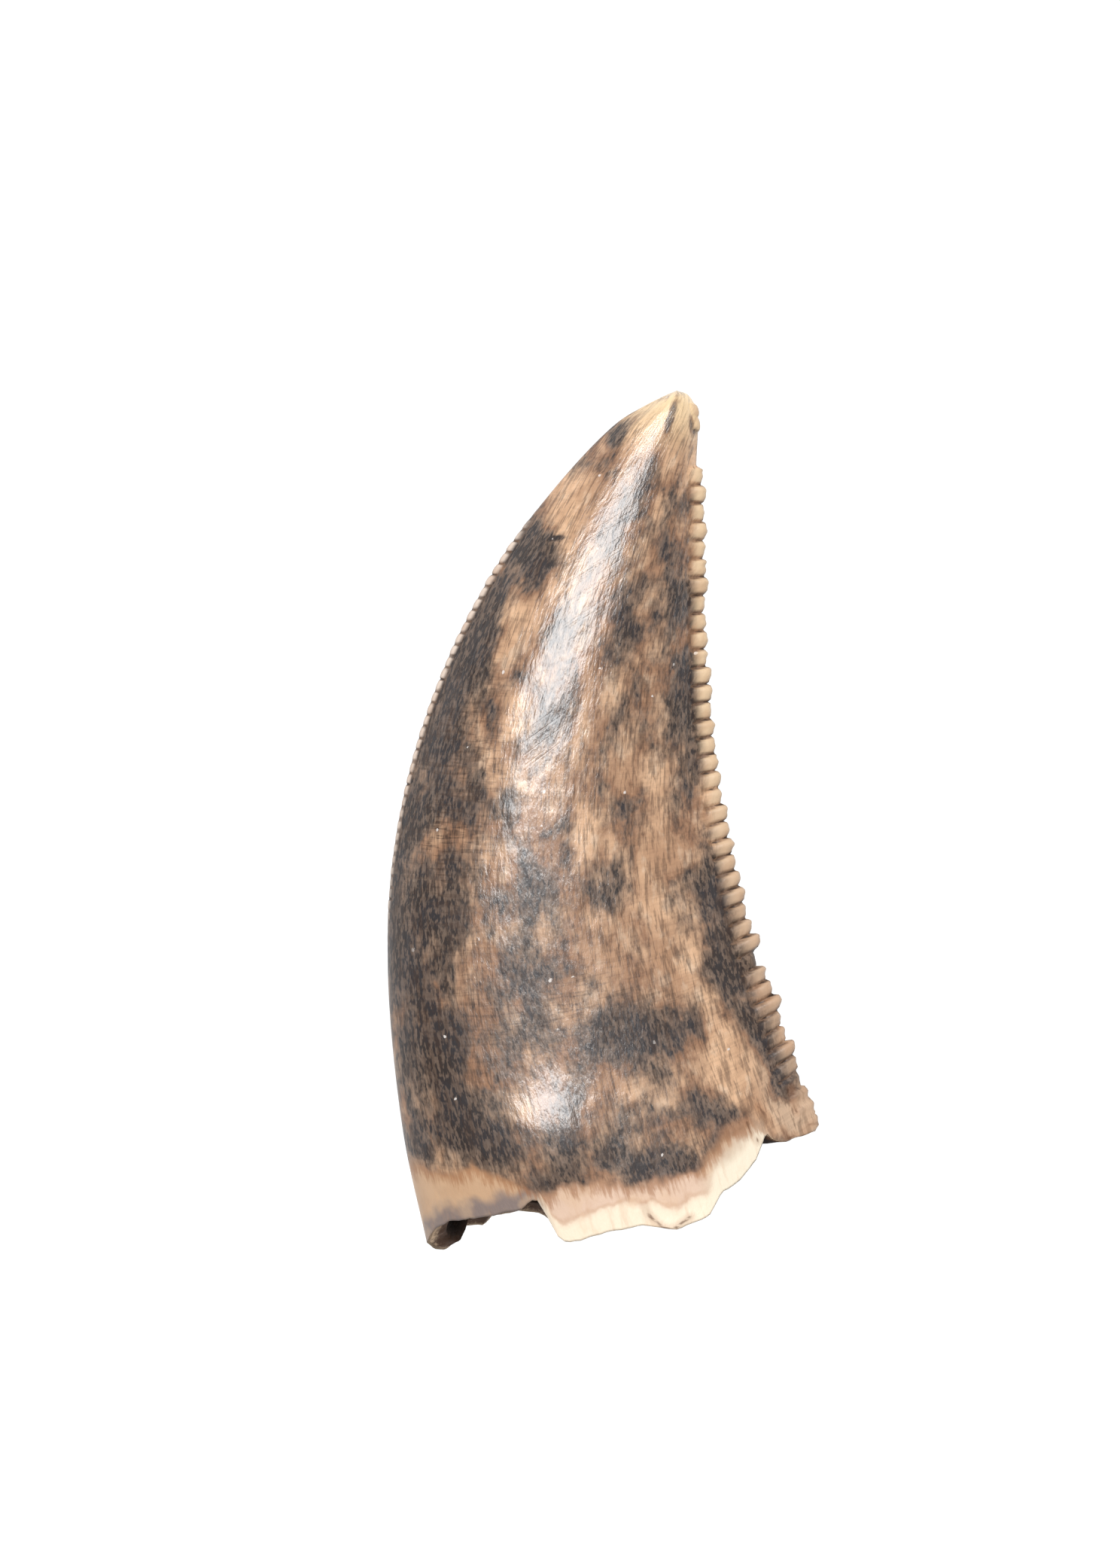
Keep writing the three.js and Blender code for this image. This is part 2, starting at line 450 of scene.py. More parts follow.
@dataclass(frozen=True)
class CrownShape:
    """The crown's outer form: two edges in one plane, and two faces that bulge out of it.

    Args:
        length: from base to tip, which turns a height into a share of the crown.
        rest_height: from the resting surface up to the plane of the edges.
        sag: how far the middle of the base hangs below the line between its corners.
        usual_width: width that turns a share of the way across into mm.
        lower_flatness: power that flattens the lower face's outline.
        front_edge: the convex edge.
        rear_edge: the concave edge.
        upper_face: height of the upper face's crest at shares of the length.
        lower_face: depth of the lower face's crest at shares of the length.
        crest: how far across the crest of the faces lies at the base.
        crest_shift: how much further it lies above the lower half, and how much again near the tip.
        front_power: bluntness of the front edge at the base, as a power of the distance from it.
        front_sharpening: how much that power grows further up.
        break_reach: share of the length over which the rows level out above the break.
        upper_break: height of the break on the upper wall, by share of the way to the rear edge.
        lower_break: the same on the lower wall.
        swells: low domes on the upper face, with amounts in mm.
        chips: small chips along the break.
        margin: height of the ragged lower end of the enamel, by share of the way to the rear edge.
    """

    length: float = 11.4
    rest_height: float = 1.08
    sag: float = 0.5
    usual_width: float = 5.4
    lower_flatness: float = 0.75
    front_edge: EdgeLine = EdgeLine((
        (-2.38, -5.6), (-2.7, -4.1), (-2.9, -1.9), (-2.79, -0.3), (-2.42, 1.25), (-1.8, 2.73),
        (-0.91, 4.14), (0.12, 5.27), (0.5, 5.51), (0.8, 5.66), (0.94, 5.72),
    ))
    rear_edge: EdgeLine = EdgeLine((
        (2.78, -4.12), (2.26, -2.75), (1.86, -1.55), (1.53, -0.2), (1.34, 1.1), (1.24, 2.5), (1.23, 3.8),
        (1.2, 4.7), (1.22, 5.25), (1.18, 5.52), (1.08, 5.67), (0.94, 5.72),
    ))
    upper_face: Pairs = (
        (0, 1.12), (0.07, 1.18), (0.13, 1.19), (0.22, 1.165), (0.4, 1.12), (0.55, 1.02), (0.7, 0.82),
        (0.82, 0.58), (0.92, 0.35), (0.975, 0.2), (1, 0.04),
    )
    lower_face: Pairs = (
        (0, 0.98), (0.12, 1.1), (0.26, 1.16), (0.42, 1.14), (0.56, 1.0), (0.7, 0.76), (0.82, 0.54),
        (0.92, 0.33), (0.975, 0.19), (1, 0.04),
    )
    crest: float = 0.38
    crest_shift: Pair = (0.06, 0.03)
    front_power: float = 0.56
    front_sharpening: float = 0.3
    break_reach: float = 0.1
    upper_break: Pairs = (
        (0, 0), (0.012, 0.1), (0.035, 0.22), (0.065, 0.3), (0.14, 0.38), (0.2, 0.41), (0.25, 0.45),
        (0.28, 0.55), (0.3, 0.54), (0.309, 0.29), (0.322, 0.05), (0.345, 0), (0.44, 0.02), (0.53, -0.01),
        (0.6, -0.22), (0.69, -0.21), (0.74, 0), (0.78, 0), (0.84, 0.14), (0.888, 0.4), (0.9, 0.25),
        (0.925, 0.14), (0.955, 0.09), (1, 0),
    )
    lower_break: Pairs = (
        (0, 0), (0.012, -0.11), (0.035, -0.11), (0.065, 0.04), (0.082, 0.19), (0.14, 0.2), (0.17, 0.3),
        (0.235, 0.355), (0.288, 0.285), (0.32, 0.1), (0.36, 0.04), (0.44, 0.3), (0.53, 0.24), (0.6, 0.18),
        (0.69, 0.34), (0.78, 0.26), (0.84, 0.4), (0.888, 0.42), (0.925, 0.2), (1, 0),
    )
    swells: tuple[Patch, ...] = (Patch(-0.76, -4.27, 0.55, 0.64, 0, 0.09),)
    chips: tuple[Ripples, ...] = (Ripples(0.022, 0.3, 3), Ripples(0.01, 0.09, 4))
    margin: Pairs = (
        (0, 0.98), (0.035, 0.96), (0.107, 0.88), (0.159, 1.0), (0.209, 0.86), (0.275, 0.73), (0.314, 0.58),
        (0.364, 0.66), (0.469, 0.62), (0.519, 0.47), (0.616, 0.44), (0.694, 0.38), (0.752, 0.52),
        (0.79, 0.66), (0.868, 0.6), (0.888, 0.45), (0.9, 0.05), (1, -0.2),
    )

    def plan(self, along: Array, across: Array) -> tuple[Array, Array, Array]:
        """Places points in the plane of the edges.

        A point stands on the straight line between the edges at its share of their lengths, and hangs
        towards the base by a parabola that is deepest in the middle and fades to nothing at the tip.

        Args:
            along: 0 at the base and 1 at the tip. Below 0 the edges are carried on.
            across: 0 at the front edge and 1 at the rear edge.

        Returns:
            x and y on the last axis, the unit vector from front to rear, and the crown's width in mm.
        """
        clamped = np.clip(along, 0.0, 1.0)
        front = self.front_edge.at(clamped)
        chord = self.rear_edge.at(clamped) - front
        width = np.linalg.norm(chord, axis=-1)
        rearward = chord / np.maximum(width, 1e-6)[..., None]
        to_base = np.stack([rearward[..., 1], -rearward[..., 0]], axis=-1)
        hang = self.sag * 4.0 * across * (1.0 - across) * (1.0 - clamped) ** 2
        point = front + chord * across[..., None]
        point = point + to_base * (hang + (clamped - along) * self.length)[..., None]
        return point, rearward, width

    def height(self, along: Array, across: Array, side: Array) -> Array:
        """Signed height above the plane of the edges.

        The outline across is a product of a power of the distance from each edge, scaled to 1 at its crest.
        It is blunt at the front of the base and becomes sharp-edged further up, where the front saw row
        stands.

        Args:
            along: 0 at the base and 1 at the tip.
            across: 0 at the front edge and 1 at the rear edge.
            side: 1 on the upper face and -1 on the lower one.

        Returns:
            The height in mm.
        """
        place = np.clip(along, 0.0, 1.0)
        low_shift, high_shift = self.crest_shift
        crest = self.crest + low_shift * smoothstep(place, 0.1, 0.5)
        crest = crest + high_shift * smoothstep(place, 0.5, 0.8)
        front = self.front_power + self.front_sharpening * smoothstep(place, 0.22, 0.5)
        rear = front * (1.0 - crest) / crest
        outline = (across / crest) ** front * ((1.0 - across) / (1.0 - crest)) ** rear
        upper = profile(self.upper_face, place) * outline
        lower = profile(self.lower_face, place) * outline**self.lower_flatness
        return np.where(side > 0, upper, -lower)

    def lift(self, across: Array, side: Array) -> Array:
        """Height of the break above the base line, with small chips.

        Args:
            across: 0 at the front edge and 1 at the rear edge.
            side: 1 on the upper wall and -1 on the lower one.

        Returns:
            The height in mm.
        """
        upper = np.interp(across, *np.array(self.upper_break).T)
        lower = np.interp(across, *np.array(self.lower_break).T)
        chips = rough(self.chips, across * self.usual_width, side)
        return np.where(side > 0, upper, lower) + chips * smoothstep(across * (1.0 - across), 0.0, 0.02)


@dataclass
class Skin:
    """A closed skin of rings, with what the materials need to know at each of its points.

    Args:
        points: x, y and z in mm, one ring a row.
        place: across share, mm above the base line and mm above the break, for each point.
        flow: coordinates in mm that follow the crown's fibres.
        masks: named values, for each point.
    """

    points: Array
    place: Array
    flow: Array
    masks: dict[str, Array]


@dataclass
class Crown:
    """The tooth crown: the saw-edged outside, the broken rim and the pulp cavity, as one closed mesh.

    Args:
        shape: the outer form.
        rear_teeth: the coarse saw row.
        tip_teeth: two last small teeth of it, near the tip.
        front_teeth: the fine saw row.
        rows: rows of the outside between the break and the tip.
        crowding: power by which the rows crowd towards the tip.
        columns: columns of each face.
        end_slope: slope of the columns' ease curve at both edges, times the width in mm.
        slope_limits: least and greatest value of that slope.
        rim_rows: rows over the broken rim.
        pulp_rows: rows of the cavity.
        pulp_front: how far behind the front edge the cavity begins, as a share of the width.
        pulp_rear: how far before the rear edge it ends.
        pulp_height: its height at the break as a share of the crown's.
        pulp_middle: how far across the crown its end lies.
        pulp_top: how far along the crown it ends.
        pulp_depth: how far behind the rim its end lies, in mm, which deepens its painted shade.
        rim_depth: how far behind the outer lip of the rim the inner one counts as, in mm, for the painted
            shade.
        rim_bevel: how much higher the inner lip of the rim is than the outer one, in mm.
        rear_bevel: how much more than that at the rear.
        notch: how far across the rim the spot of painted shade under the rear notch lies.
        stains: areas with more or less dark stain.
        warmths: areas that are more orange, or greyer if negative.
        hatches: areas with cross-hatched lines.
        scratches: areas with slanting scratches.
        cracks: thin cracks on the upper face, near the base.
        nicks: unevenness of the rear saw teeth's ends.
        ragged: unevenness of the enamel's lower end.
        grain: low relief of the faces.
        rubble: unevenness of the rim.
        enamel_step: how far the bare dentine lies below the enamel, in mm.
    """

    shape: CrownShape = field(default_factory=CrownShape)
    rear_teeth: SawRow = SawRow(
        start=0.012, stop=0.893, pitch=(0.205, 0.25), reach=(0.14, 0.1), depth=(0.27, 0.12),
        thickness=(0.03, 0.05), lean=0.2, uneven=0.28, blunt=(1.8, 1.9), web=0.45, hook=0.35, fused=0.8,
        odd=((0, 0.85), (1, 0.85), (2, 0.7), (3, 0.6), (8, 1.2), (11, 0.3), (12, 1.3), (13, 1.1)),
    )
    tip_teeth: SawRow = SawRow(
        start=0.942, stop=0.965, pitch=(0.2, 0.2), reach=(0.035, 0.035), depth=(0.08, 0.08),
        thickness=(0.03, 0.03), lean=0.0, uneven=0.1, blunt=(2.0, 2.0), web=0.0,
    )
    front_teeth: SawRow = SawRow(
        start=0.3, stop=0.82, pitch=(0.145, 0.185), reach=(0.01, 0.05), depth=(0.03, 0.08),
        thickness=(0.01, 0.03), lean=0.0, uneven=0.15, blunt=(2.0, 2.0), web=0.3, taper=6.0,
    )
    rows: int = 440
    crowding: float = 1.15
    columns: int = 98
    end_slope: float = 2.3
    slope_limits: Pair = (0.35, 1.4)
    rim_rows: int = 6
    pulp_rows: int = 26
    pulp_front: float = 0.05
    pulp_rear: float = 0.16
    pulp_height: float = 0.7
    pulp_middle: float = 0.4
    pulp_top: float = 0.42
    pulp_depth: float = 4.8
    rim_depth: float = 0.3
    rim_bevel: float = 0.14
    rear_bevel: float = 0.3
    notch: float = 0.92
    stains: tuple[Patch, ...] = (
        # Dark clouds near the tip and down the front edge
        Patch(0.14, 5.08, 0.13, 0.17, 30, 1.2), Patch(0.86, 5.35, 0.07, 0.26, 20, 2.6),
        Patch(1.13, 5.28, 0.04, 0.13, 0, 1.6), Patch(-1.15, 3.5, 0.3, 0.8, 33, 1.2),
        Patch(-1.92, 2.05, 0.34, 0.95, 23, 1.3), Patch(-2.5, 0.35, 0.38, 1.2, 10, 1.3),
        Patch(-1.9, 0.6, 0.3, 0.5, 0, 0.8), Patch(-2.7, -1.1, 0.32, 1.4, 0, 1.1),
        Patch(-2.35, -3.5, 0.5, 1.0, 0, 1.0), Patch(-2.1, -2.1, 0.5, 1.2, 0, 0.5),
        # The band across the lower third and the dark rows above the break
        Patch(-0.2, -2.8, 1.5, 0.28, 0, 0.7), Patch(-1.5, -4.2, 0.55, 0.35, 0, 0.8),
        Patch(0.77, -4.5, 0.4, 0.27, 0, 1.3), Patch(0.05, -4.4, 0.22, 0.25, 0, 1.0),
        Patch(-0.45, -4.65, 0.5, 0.18, 0, 0.35),
        # Dark clouds down the rear edge
        Patch(1.0, 2.9, 0.24, 0.5, 0, 0.9), Patch(1.05, 1.6, 0.26, 0.55, 0, 1.2),
        Patch(1.12, 0.6, 0.22, 0.45, 0, 0.8), Patch(0.3, 2.55, 0.32, 0.2, 0, 0.4),
        Patch(1.45, -0.9, 0.42, 0.3, 0, 1.1), Patch(1.6, -1.95, 0.42, 0.45, -15, 1.1),
        Patch(2.2, -3.1, 0.17, 0.7, -22, 1.6), Patch(1.25, -2.8, 0.12, 0.5, -20, 0.8),
        Patch(1.7, -3.87, 0.35, 0.1, 0, 1.1),
        # Weaker clouds in the middle
        Patch(0.15, 0.1, 0.14, 0.35, 0, 0.7), Patch(0.55, -1.6, 0.2, 0.4, 0, 0.5),
        Patch(0.6, -3.7, 0.6, 0.5, 0, 0.5), Patch(-1.0, -2.0, 1.6, 1.2, 0, 0.3),
        # Clear gaps
        Patch(-1.15, 2.6, 0.2, 0.5, 25, -1.3), Patch(-0.6, 4.0, 0.32, 0.7, 30, -1.2),
        Patch(-1.4, 0.7, 0.19, 0.36, 10, -1.5), Patch(-0.3, 0.0, 0.16, 0.4, 0, -1.3),
        Patch(-0.7, -0.5, 0.13, 0.22, 0, -0.9), Patch(-1.33, -0.6, 0.11, 0.22, 0, -0.9),
        Patch(0.6, -1.0, 0.14, 0.75, -12, -1.3), Patch(1.65, -3.2, 0.27, 0.65, -22, -1.7),
        Patch(0.8, 5.3, 0.6, 0.5, 0, -1.6),
        # Slight changes over wide areas, and small clouds and gaps within them
        Patch(0.75, 4.0, 0.4, 0.7, 0, 0.4), Patch(0.5, 1.6, 0.4, 0.7, 0, -0.3),
        Patch(2.6, -3.9, 0.3, 0.35, 0, -0.8), Patch(0.6, -0.2, 0.8, 1.7, 0, -0.3),
        Patch(-0.67, 3.75, 0.17, 0.035, 0, 1.8), Patch(-2.2, 2.6, 0.5, 1.0, 25, 0.6),
        Patch(-1.0, 3.65, 0.35, 0.3, 0, 1.5), Patch(2.35, -4.0, 0.45, 0.25, 0, -1.6),
        Patch(-1.5, 1.5, 0.22, 0.55, 10, 0.7), Patch(0.35, 1.0, 0.35, 0.4, 0, 0.7),
        Patch(1.0, 0.1, 0.45, 0.3, 0, 0.6), Patch(-1.9, -0.55, 0.5, 0.25, 0, 0.6),
        Patch(-1.5, -3.3, 0.22, 0.6, 0, 0.6), Patch(0.55, -3.9, 0.35, 0.3, 0, 0.7),
        Patch(1.95, -3.5, 0.25, 0.4, -22, -0.8),
    )
    warmths: tuple[Patch, ...] = (
        Patch(-1.2, 2.6, 0.3, 0.6, 25, 1.1), Patch(0.5, -0.8, 0.25, 0.9, -15, 0.7),
        Patch(0.8, 5.3, 0.7, 0.6, 0, 0.6), Patch(-0.6, 4.0, 0.4, 0.8, 30, 0.5),
        Patch(-0.3, 0.0, 0.25, 0.5, 0, 0.9), Patch(-2.4, -0.6, 0.3, 0.3, 0, 0.6),
        # The greyer patch over the lower middle, at (-0.6, -2.5), is partly painted sheen: the grey haze that
        # a broad soft reflection lays there.
        Patch(1.8, -3.2, 0.5, 0.8, -25, 0.4), Patch(-0.6, -2.5, 1.8, 1.8, 0, -0.7),
    )
    hatches: tuple[Patch, ...] = (
        Patch(-2.0, 0.6, 0.8, 1.5, 10, 1.0), Patch(-0.8, -2.6, 1.6, 0.7, 0, 0.8),
        Patch(-2.2, -1.0, 0.6, 1.0, 0, 0.5),
    )
    scratches: tuple[Patch, ...] = (
        Patch(-0.85, 1.05, 0.35, 0.35, 0, 1.0), Patch(-0.05, 3.5, 0.35, 1.1, 28, 0.8),
    )
    cracks: tuple[Crack, ...] = (
        Crack(((0.5, -5.04), (0.55, -5.17), (0.75, -5.35), (0.87, -5.38), (1.0, -5.28), (1.12, -5.2))),
        Crack(((1.87, -3.98), (1.94, -4.16), (2.02, -4.23))),
        Crack(((2.01, -3.77), (2.11, -3.89), (2.17, -4.01), (2.22, -4.16))),
        Crack(((2.64, -4.08), (2.67, -4.17))), Crack(((2.69, -4.03), (2.87, -4.0))),
        Crack(((2.46, -3.54), (2.5, -3.75), (2.53, -3.86))),
        Crack(((2.34, -4.08), (2.41, -4.22), (2.5, -4.16))),
    )
    nicks: Ripples = Ripples(0.02, 1.1, 12)
    ragged: tuple[Ripples, ...] = (Ripples(0.05, 0.22, 5), Ripples(0.02, 0.07, 6))
    grain: tuple[Ripples, ...] = (Ripples(0.007, 0.45, 7), Ripples(0.003, 0.17, 8))
    rubble: tuple[Ripples, ...] = (Ripples(0.022, 0.16, 9), Ripples(0.0132, 0.07, 10))
    enamel_step: float = 0.012

    def ring_columns(self, width: Array) -> tuple[Array, Array]:
        """Shares of the way across for one trip round the crown, up the upper face and back on the lower.

        The columns crowd towards both edges, where the saw teeth are. They are an ease curve whose end
        slopes are set so that the first columns stay about the same distance apart in mm, however wide the
        crown is.

        Args:
            width: the crown's width at each row, in mm, as a column.

        Returns:
            The shares, one row for each width, and the side of each column.
        """
        t = np.linspace(0.0, 1.0, self.columns + 1)[None, :]
        slope = np.clip(self.end_slope / np.maximum(width, 0.4), *self.slope_limits)
        ease = t * t * (3.0 - 2.0 * t)
        upper = ease + slope * (t * (1.0 - t) ** 2 - t * t * (1.0 - t))
        across = np.concatenate([upper[:, :-1], upper[:, :0:-1]], axis=1)
        side = np.full(2 * self.columns, Side.LOWER.value, float)
        side[:self.columns + 1] = Side.UPPER.value
        return np.clip(across, 0.0, 1.0), side[None, :]

    def painted(self, x: Array, y: Array, side: Array) -> dict[str, Array]:
        """What is placed on the faces one by one: the patches of each kind, and the distance to a crack.

        Args:
            x: x of each point in mm.
            y: y of each point in mm.
            side: 1 on the upper face and -1 on the lower one, which has no cracks.

        Returns:
            The values by name.
        """
        kinds = {
            "stain": self.stains,
            "warmth": self.warmths,
            "hatch": self.hatches,
            "scratch": self.scratches,
        }
        masks = {name: sum(patch.weight(x, y) for patch in patches) for name, patches in kinds.items()}
        crack = np.min([crack.distance(x, y) for crack in self.cracks], axis=0)
        return {**masks, "crack": crack + (side < 0)}

    def saws(self, along: Array, across: Array, width: Array) -> Saws:
        """The reliefs of the saw rows.

        Args:
            along: 0 at the base and 1 at the tip.
            across: 0 at the front edge and 1 at the rear edge.
            width: the crown's width in mm.

        Returns:
            The reliefs.
        """
        from_front, from_rear = across * width, (1.0 - across) * width
        front_length, rear_length = self.shape.front_edge.length, self.shape.rear_edge.length
        return Saws(
            rear=self.rear_teeth.relief(along, from_rear, rear_length),
            last=self.tip_teeth.relief(along, from_rear, rear_length),
            front=self.front_teeth.relief(along, from_front, front_length),
        )

    def sawn(self, plan: Array, rearward: Array, along: Array, side: Array, saws: Saws) -> Array:
        """Moves the points at the edges out to the saw teeth's outline.

        Args:
            plan: x and y of each point in mm.
            rearward: the unit vector from front to rear.
            along: 0 at the base and 1 at the tip.
            side: 1 on the upper face and -1 on the lower one.
            saws: the reliefs of the saw rows.

        Returns:
            The moved x and y.
        """
        to_tip = np.stack([-rearward[..., 1], rearward[..., 0]], axis=-1)
        nicks = self.nicks.at(along * 90.0, side * 0.2) * smoothstep(saws.rear.out, 0.02, 0.1)
        plan = plan + (rearward + self.rear_teeth.lean * to_tip) * (saws.rear.out + nicks)[..., None]
        plan = plan + rearward * saws.last.out[..., None]
        return plan - rearward * saws.front.out[..., None]

    def faces(self, along: Array, across: Array, side: Array, plan: Array) -> Array:
        """Height of the smooth faces with their domes, before the saw teeth.

        Args:
            along: 0 at the base and 1 at the tip.
            across: 0 at the front edge and 1 at the rear edge.
            side: 1 on the upper face and -1 on the lower one.
            plan: x and y of each point in mm.

        Returns:
            The height in mm.
        """
        domes = sum(swell.weight(plan[..., 0], plan[..., 1]) for swell in self.shape.swells)
        return self.shape.height(along, across, side) + np.where(side > 0, domes, 0.0)

    def outside(self) -> Skin:
        """The outer surface from the break to the tip.

        Returns:
            A skin with one row for each ring.
        """
        shape = self.shape
        share = 1.0 - (1.0 - np.arange(self.rows)[:, None] / self.rows) ** self.crowding
        _, _, width = shape.plan(share, np.zeros_like(share))
        across, side = self.ring_columns(width)
        lift = shape.lift(across, side)
        along = share + lift / shape.length * smoothstep(share, shape.break_reach, 0.0)
        plan, rearward, width = shape.plan(along, across)
        z = self.faces(along, across, side, plan)
        saws = self.saws(along, across, width)
        plan = self.sawn(plan, rearward, along, side, saws)
        above, girth = along * shape.length, across * shape.usual_width
        enamel = above - np.interp(across, *np.array(shape.margin).T) - rough(self.ragged, girth, above)
        coarse, fine = self.grain
        grain = coarse.at(across * width, above * 0.4) + fine.at(across * width, above * 0.5)
        grain = grain - self.enamel_step * smoothstep(enamel, 0.02, -0.04)
        added = saws.swell * (1.0 - saws.slit) + grain * smoothstep(np.abs(z), 0.0, 0.3)
        z = z * (1.0 - 0.5 * saws.slit) + side * added
        points = np.concatenate([plan, z[..., None] + shape.rest_height], axis=-1)
        flow_x = (across - 0.45) * np.sqrt(np.maximum(width, 0.3) * shape.usual_width)
        return Skin(
            points,
            place=np.stack([across, above, above - lift], axis=-1),
            flow=np.stack([flow_x, above, points[..., 2]], axis=-1),
            masks={
                "enamel": enamel,
                "ivory": saws.ivory,
                "slit": saws.slit,
                **self.painted(plan[..., 0], plan[..., 1], side),
                "cavity": np.zeros_like(z),
            },
        )

    def inside(self, outer: Array) -> Skin:
        """The broken rim and the pulp cavity behind it.

        The cavity is a smaller crown that draws in to its own middle, its width falling like an ellipse.
        The rim runs from the outer ring to the cavity's lip in even steps, roughened by ripples.

        Args:
            outer: the points of the outside's first ring.

        Returns:
            A skin with one row for each ring, from the rim inwards.
        """
        shape = self.shape
        _, _, width = shape.plan(np.zeros((1, 1)), np.zeros((1, 1)))
        across, side = self.ring_columns(width)
        share = (np.arange(self.pulp_rows) / self.pulp_rows)[:, None]
        narrow = np.sqrt(1.0 - share**1.6)
        lift = shape.lift(across, side)
        bevel = self.rim_bevel + self.rear_bevel * across**6
        along = share * self.pulp_top + (lift + bevel) * (1.0 - share) ** 3 / shape.length
        inner = across + self.pulp_front * (1.0 - across) ** 5 - self.pulp_rear * across**3
        inner = self.pulp_middle + (inner - self.pulp_middle) * narrow
        plan, _, _ = shape.plan(along, inner)
        z = shape.height(along, np.broadcast_to(across, along.shape), side) * self.pulp_height * narrow
        pulp = np.concatenate([plan, z[..., None] + shape.rest_height], axis=-1)
        t = np.arange(1, self.rim_rows)[:, None, None] / self.rim_rows
        rim = outer[None] * (1.0 - t) + pulp[:1] * t
        t, girth = t[..., 0], across * shape.usual_width
        coarse, fine = self.rubble
        rubble = coarse.at(girth + side, t * 0.4) + fine.at(girth, t)
        rim[..., 1] += rubble * np.sin(np.pi * t)
        points = np.concatenate([rim, pulp])
        # Darker colour from the rim's outer lip into the cavity, most under the rear notch and a little on
        # the lower wall: painted shade, with some sediment.
        cavity = np.concatenate([self.rim_depth * t, self.rim_depth + self.pulp_depth * share])
        shade_under_notch = 0.5 * smoothstep(np.abs(across - self.notch), 0.06, 0.01)
        cavity = cavity + np.where(side > 0, shade_under_notch, 0.1)
        nothing = np.zeros_like(cavity)
        masks = {name: nothing for name in ("ivory", "slit", "stain", "warmth", "hatch", "scratch")}
        return Skin(
            points,
            place=np.stack([nothing + across, nothing, nothing], axis=-1),
            flow=points.copy(),
            masks={**masks, "enamel": nothing - 1.0, "crack": nothing + 1.0, "cavity": cavity},
        )

    def build(self, materials: list[bpy.types.Material]) -> bpy.types.Object:
        """Joins both skins into one closed mesh object and puts the materials on it.

        Args:
            materials: the outside's and the inside's, in that order.

        Returns:
            The crown, with its place in its mesh.
        """
        outside = self.outside()
        inside = self.inside(outside.points[0])
        tip, _, _ = self.shape.plan(np.ones(1), np.zeros(1))
        end, _, _ = self.shape.plan(np.full(1, self.pulp_top), np.full(1, self.pulp_middle))
        first, last = (np.append(pole[0], self.shape.rest_height) for pole in (tip, end))
        points = np.vstack([first, joined(outside.points, inside.points), last])
        points[:, 2] = np.maximum(points[:, 2], 0.0)
        low, high = (np.array(corner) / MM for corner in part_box("tooth_crown"))
        shift = (low + high - points.min(axis=0) - points.max(axis=0)) / 2.0
        points[:, :2] += shift[:2]
        columns = 2 * self.columns
        mesh = skinned("tooth_crown_looks", points * MM, columns)
        store(mesh, "place", joined(outside.place, inside.place))
        store(mesh, "flow", joined(outside.flow, inside.flow))
        for name, mask in outside.masks.items():
            store(mesh, name, joined(mask[..., None], inside.masks[name][..., None]))
        for material in materials:
            mesh.materials.append(material)
        slots = np.zeros(len(mesh.polygons), np.int32)
        slots[columns * self.rows:] = 1
        mesh.polygons.foreach_set("material_index", slots)
        mesh.update()
        crown = bpy.data.objects.new("tooth_crown_looks", mesh)
        bpy.context.scene.collection.objects.link(crown)
        log.info("%s: %d vertices, %d faces", crown.name, len(mesh.vertices), len(mesh.polygons))
        return crown


def joined(outside: Array, inside: Array) -> Array:
    """Puts the outside's rings, from the tip back to the break, before the inside's.

    Args:
        outside: values of the outside, one ring a row.
        inside: values of the inside, one ring a row.

    Returns:
        The values, one point a row.
    """
    rings = np.concatenate([outside[::-1], inside])
    return rings.reshape(-1, rings.shape[-1])


def store(mesh: bpy.types.Mesh, name: str, values: Array) -> None:
    """Stores a value or a vector for each point of a mesh. The poles repeat their neighbours' values.

    Args:
        mesh: the mesh.
        name: of the attribute.
        values: one row for each point between the poles, of one number or three.
    """
    kind, key = ("FLOAT_VECTOR", "vector") if values.shape[1] == 3 else ("FLOAT", "value")
    values = np.concatenate([values[:1], values, values[-1:]])
    layer = mesh.attributes.new(name, kind, "POINT")
    layer.data.foreach_set(key, values.astype(np.float32).ravel())


def skinned(name: str, points: Array, size: int) -> bpy.types.Mesh:
    """A smooth-shaded closed mesh over rings of equal size, from one pole to the other.

    Args:
        name: of the mesh.
        points: the first pole, the rings' points in order, and the last pole.
        size: number of points in a ring.

    Returns:
        The mesh, with faces ordered from the first pole on and turned outwards.
    """
    last = len(points) - 1
    number = 1 + np.arange(last - 1).reshape(-1, size)
    after = np.roll(number, -1, axis=1)
    first_fan = np.stack([np.zeros(size, int), number[0], after[0]], axis=-1)
    quads = np.stack([number[:-1], number[1:], after[1:], after[:-1]], axis=-1).reshape(-1, 4)
    last_fan = np.stack([after[-1], number[-1], np.full(size, last)], axis=-1)
    mesh = bpy.data.meshes.new(name)
    mesh.from_pydata(points.tolist(), [], first_fan.tolist() + quads.tolist() + last_fan.tolist())
    mesh.polygons.foreach_set("use_smooth", np.ones(len(mesh.polygons), bool))
    return mesh


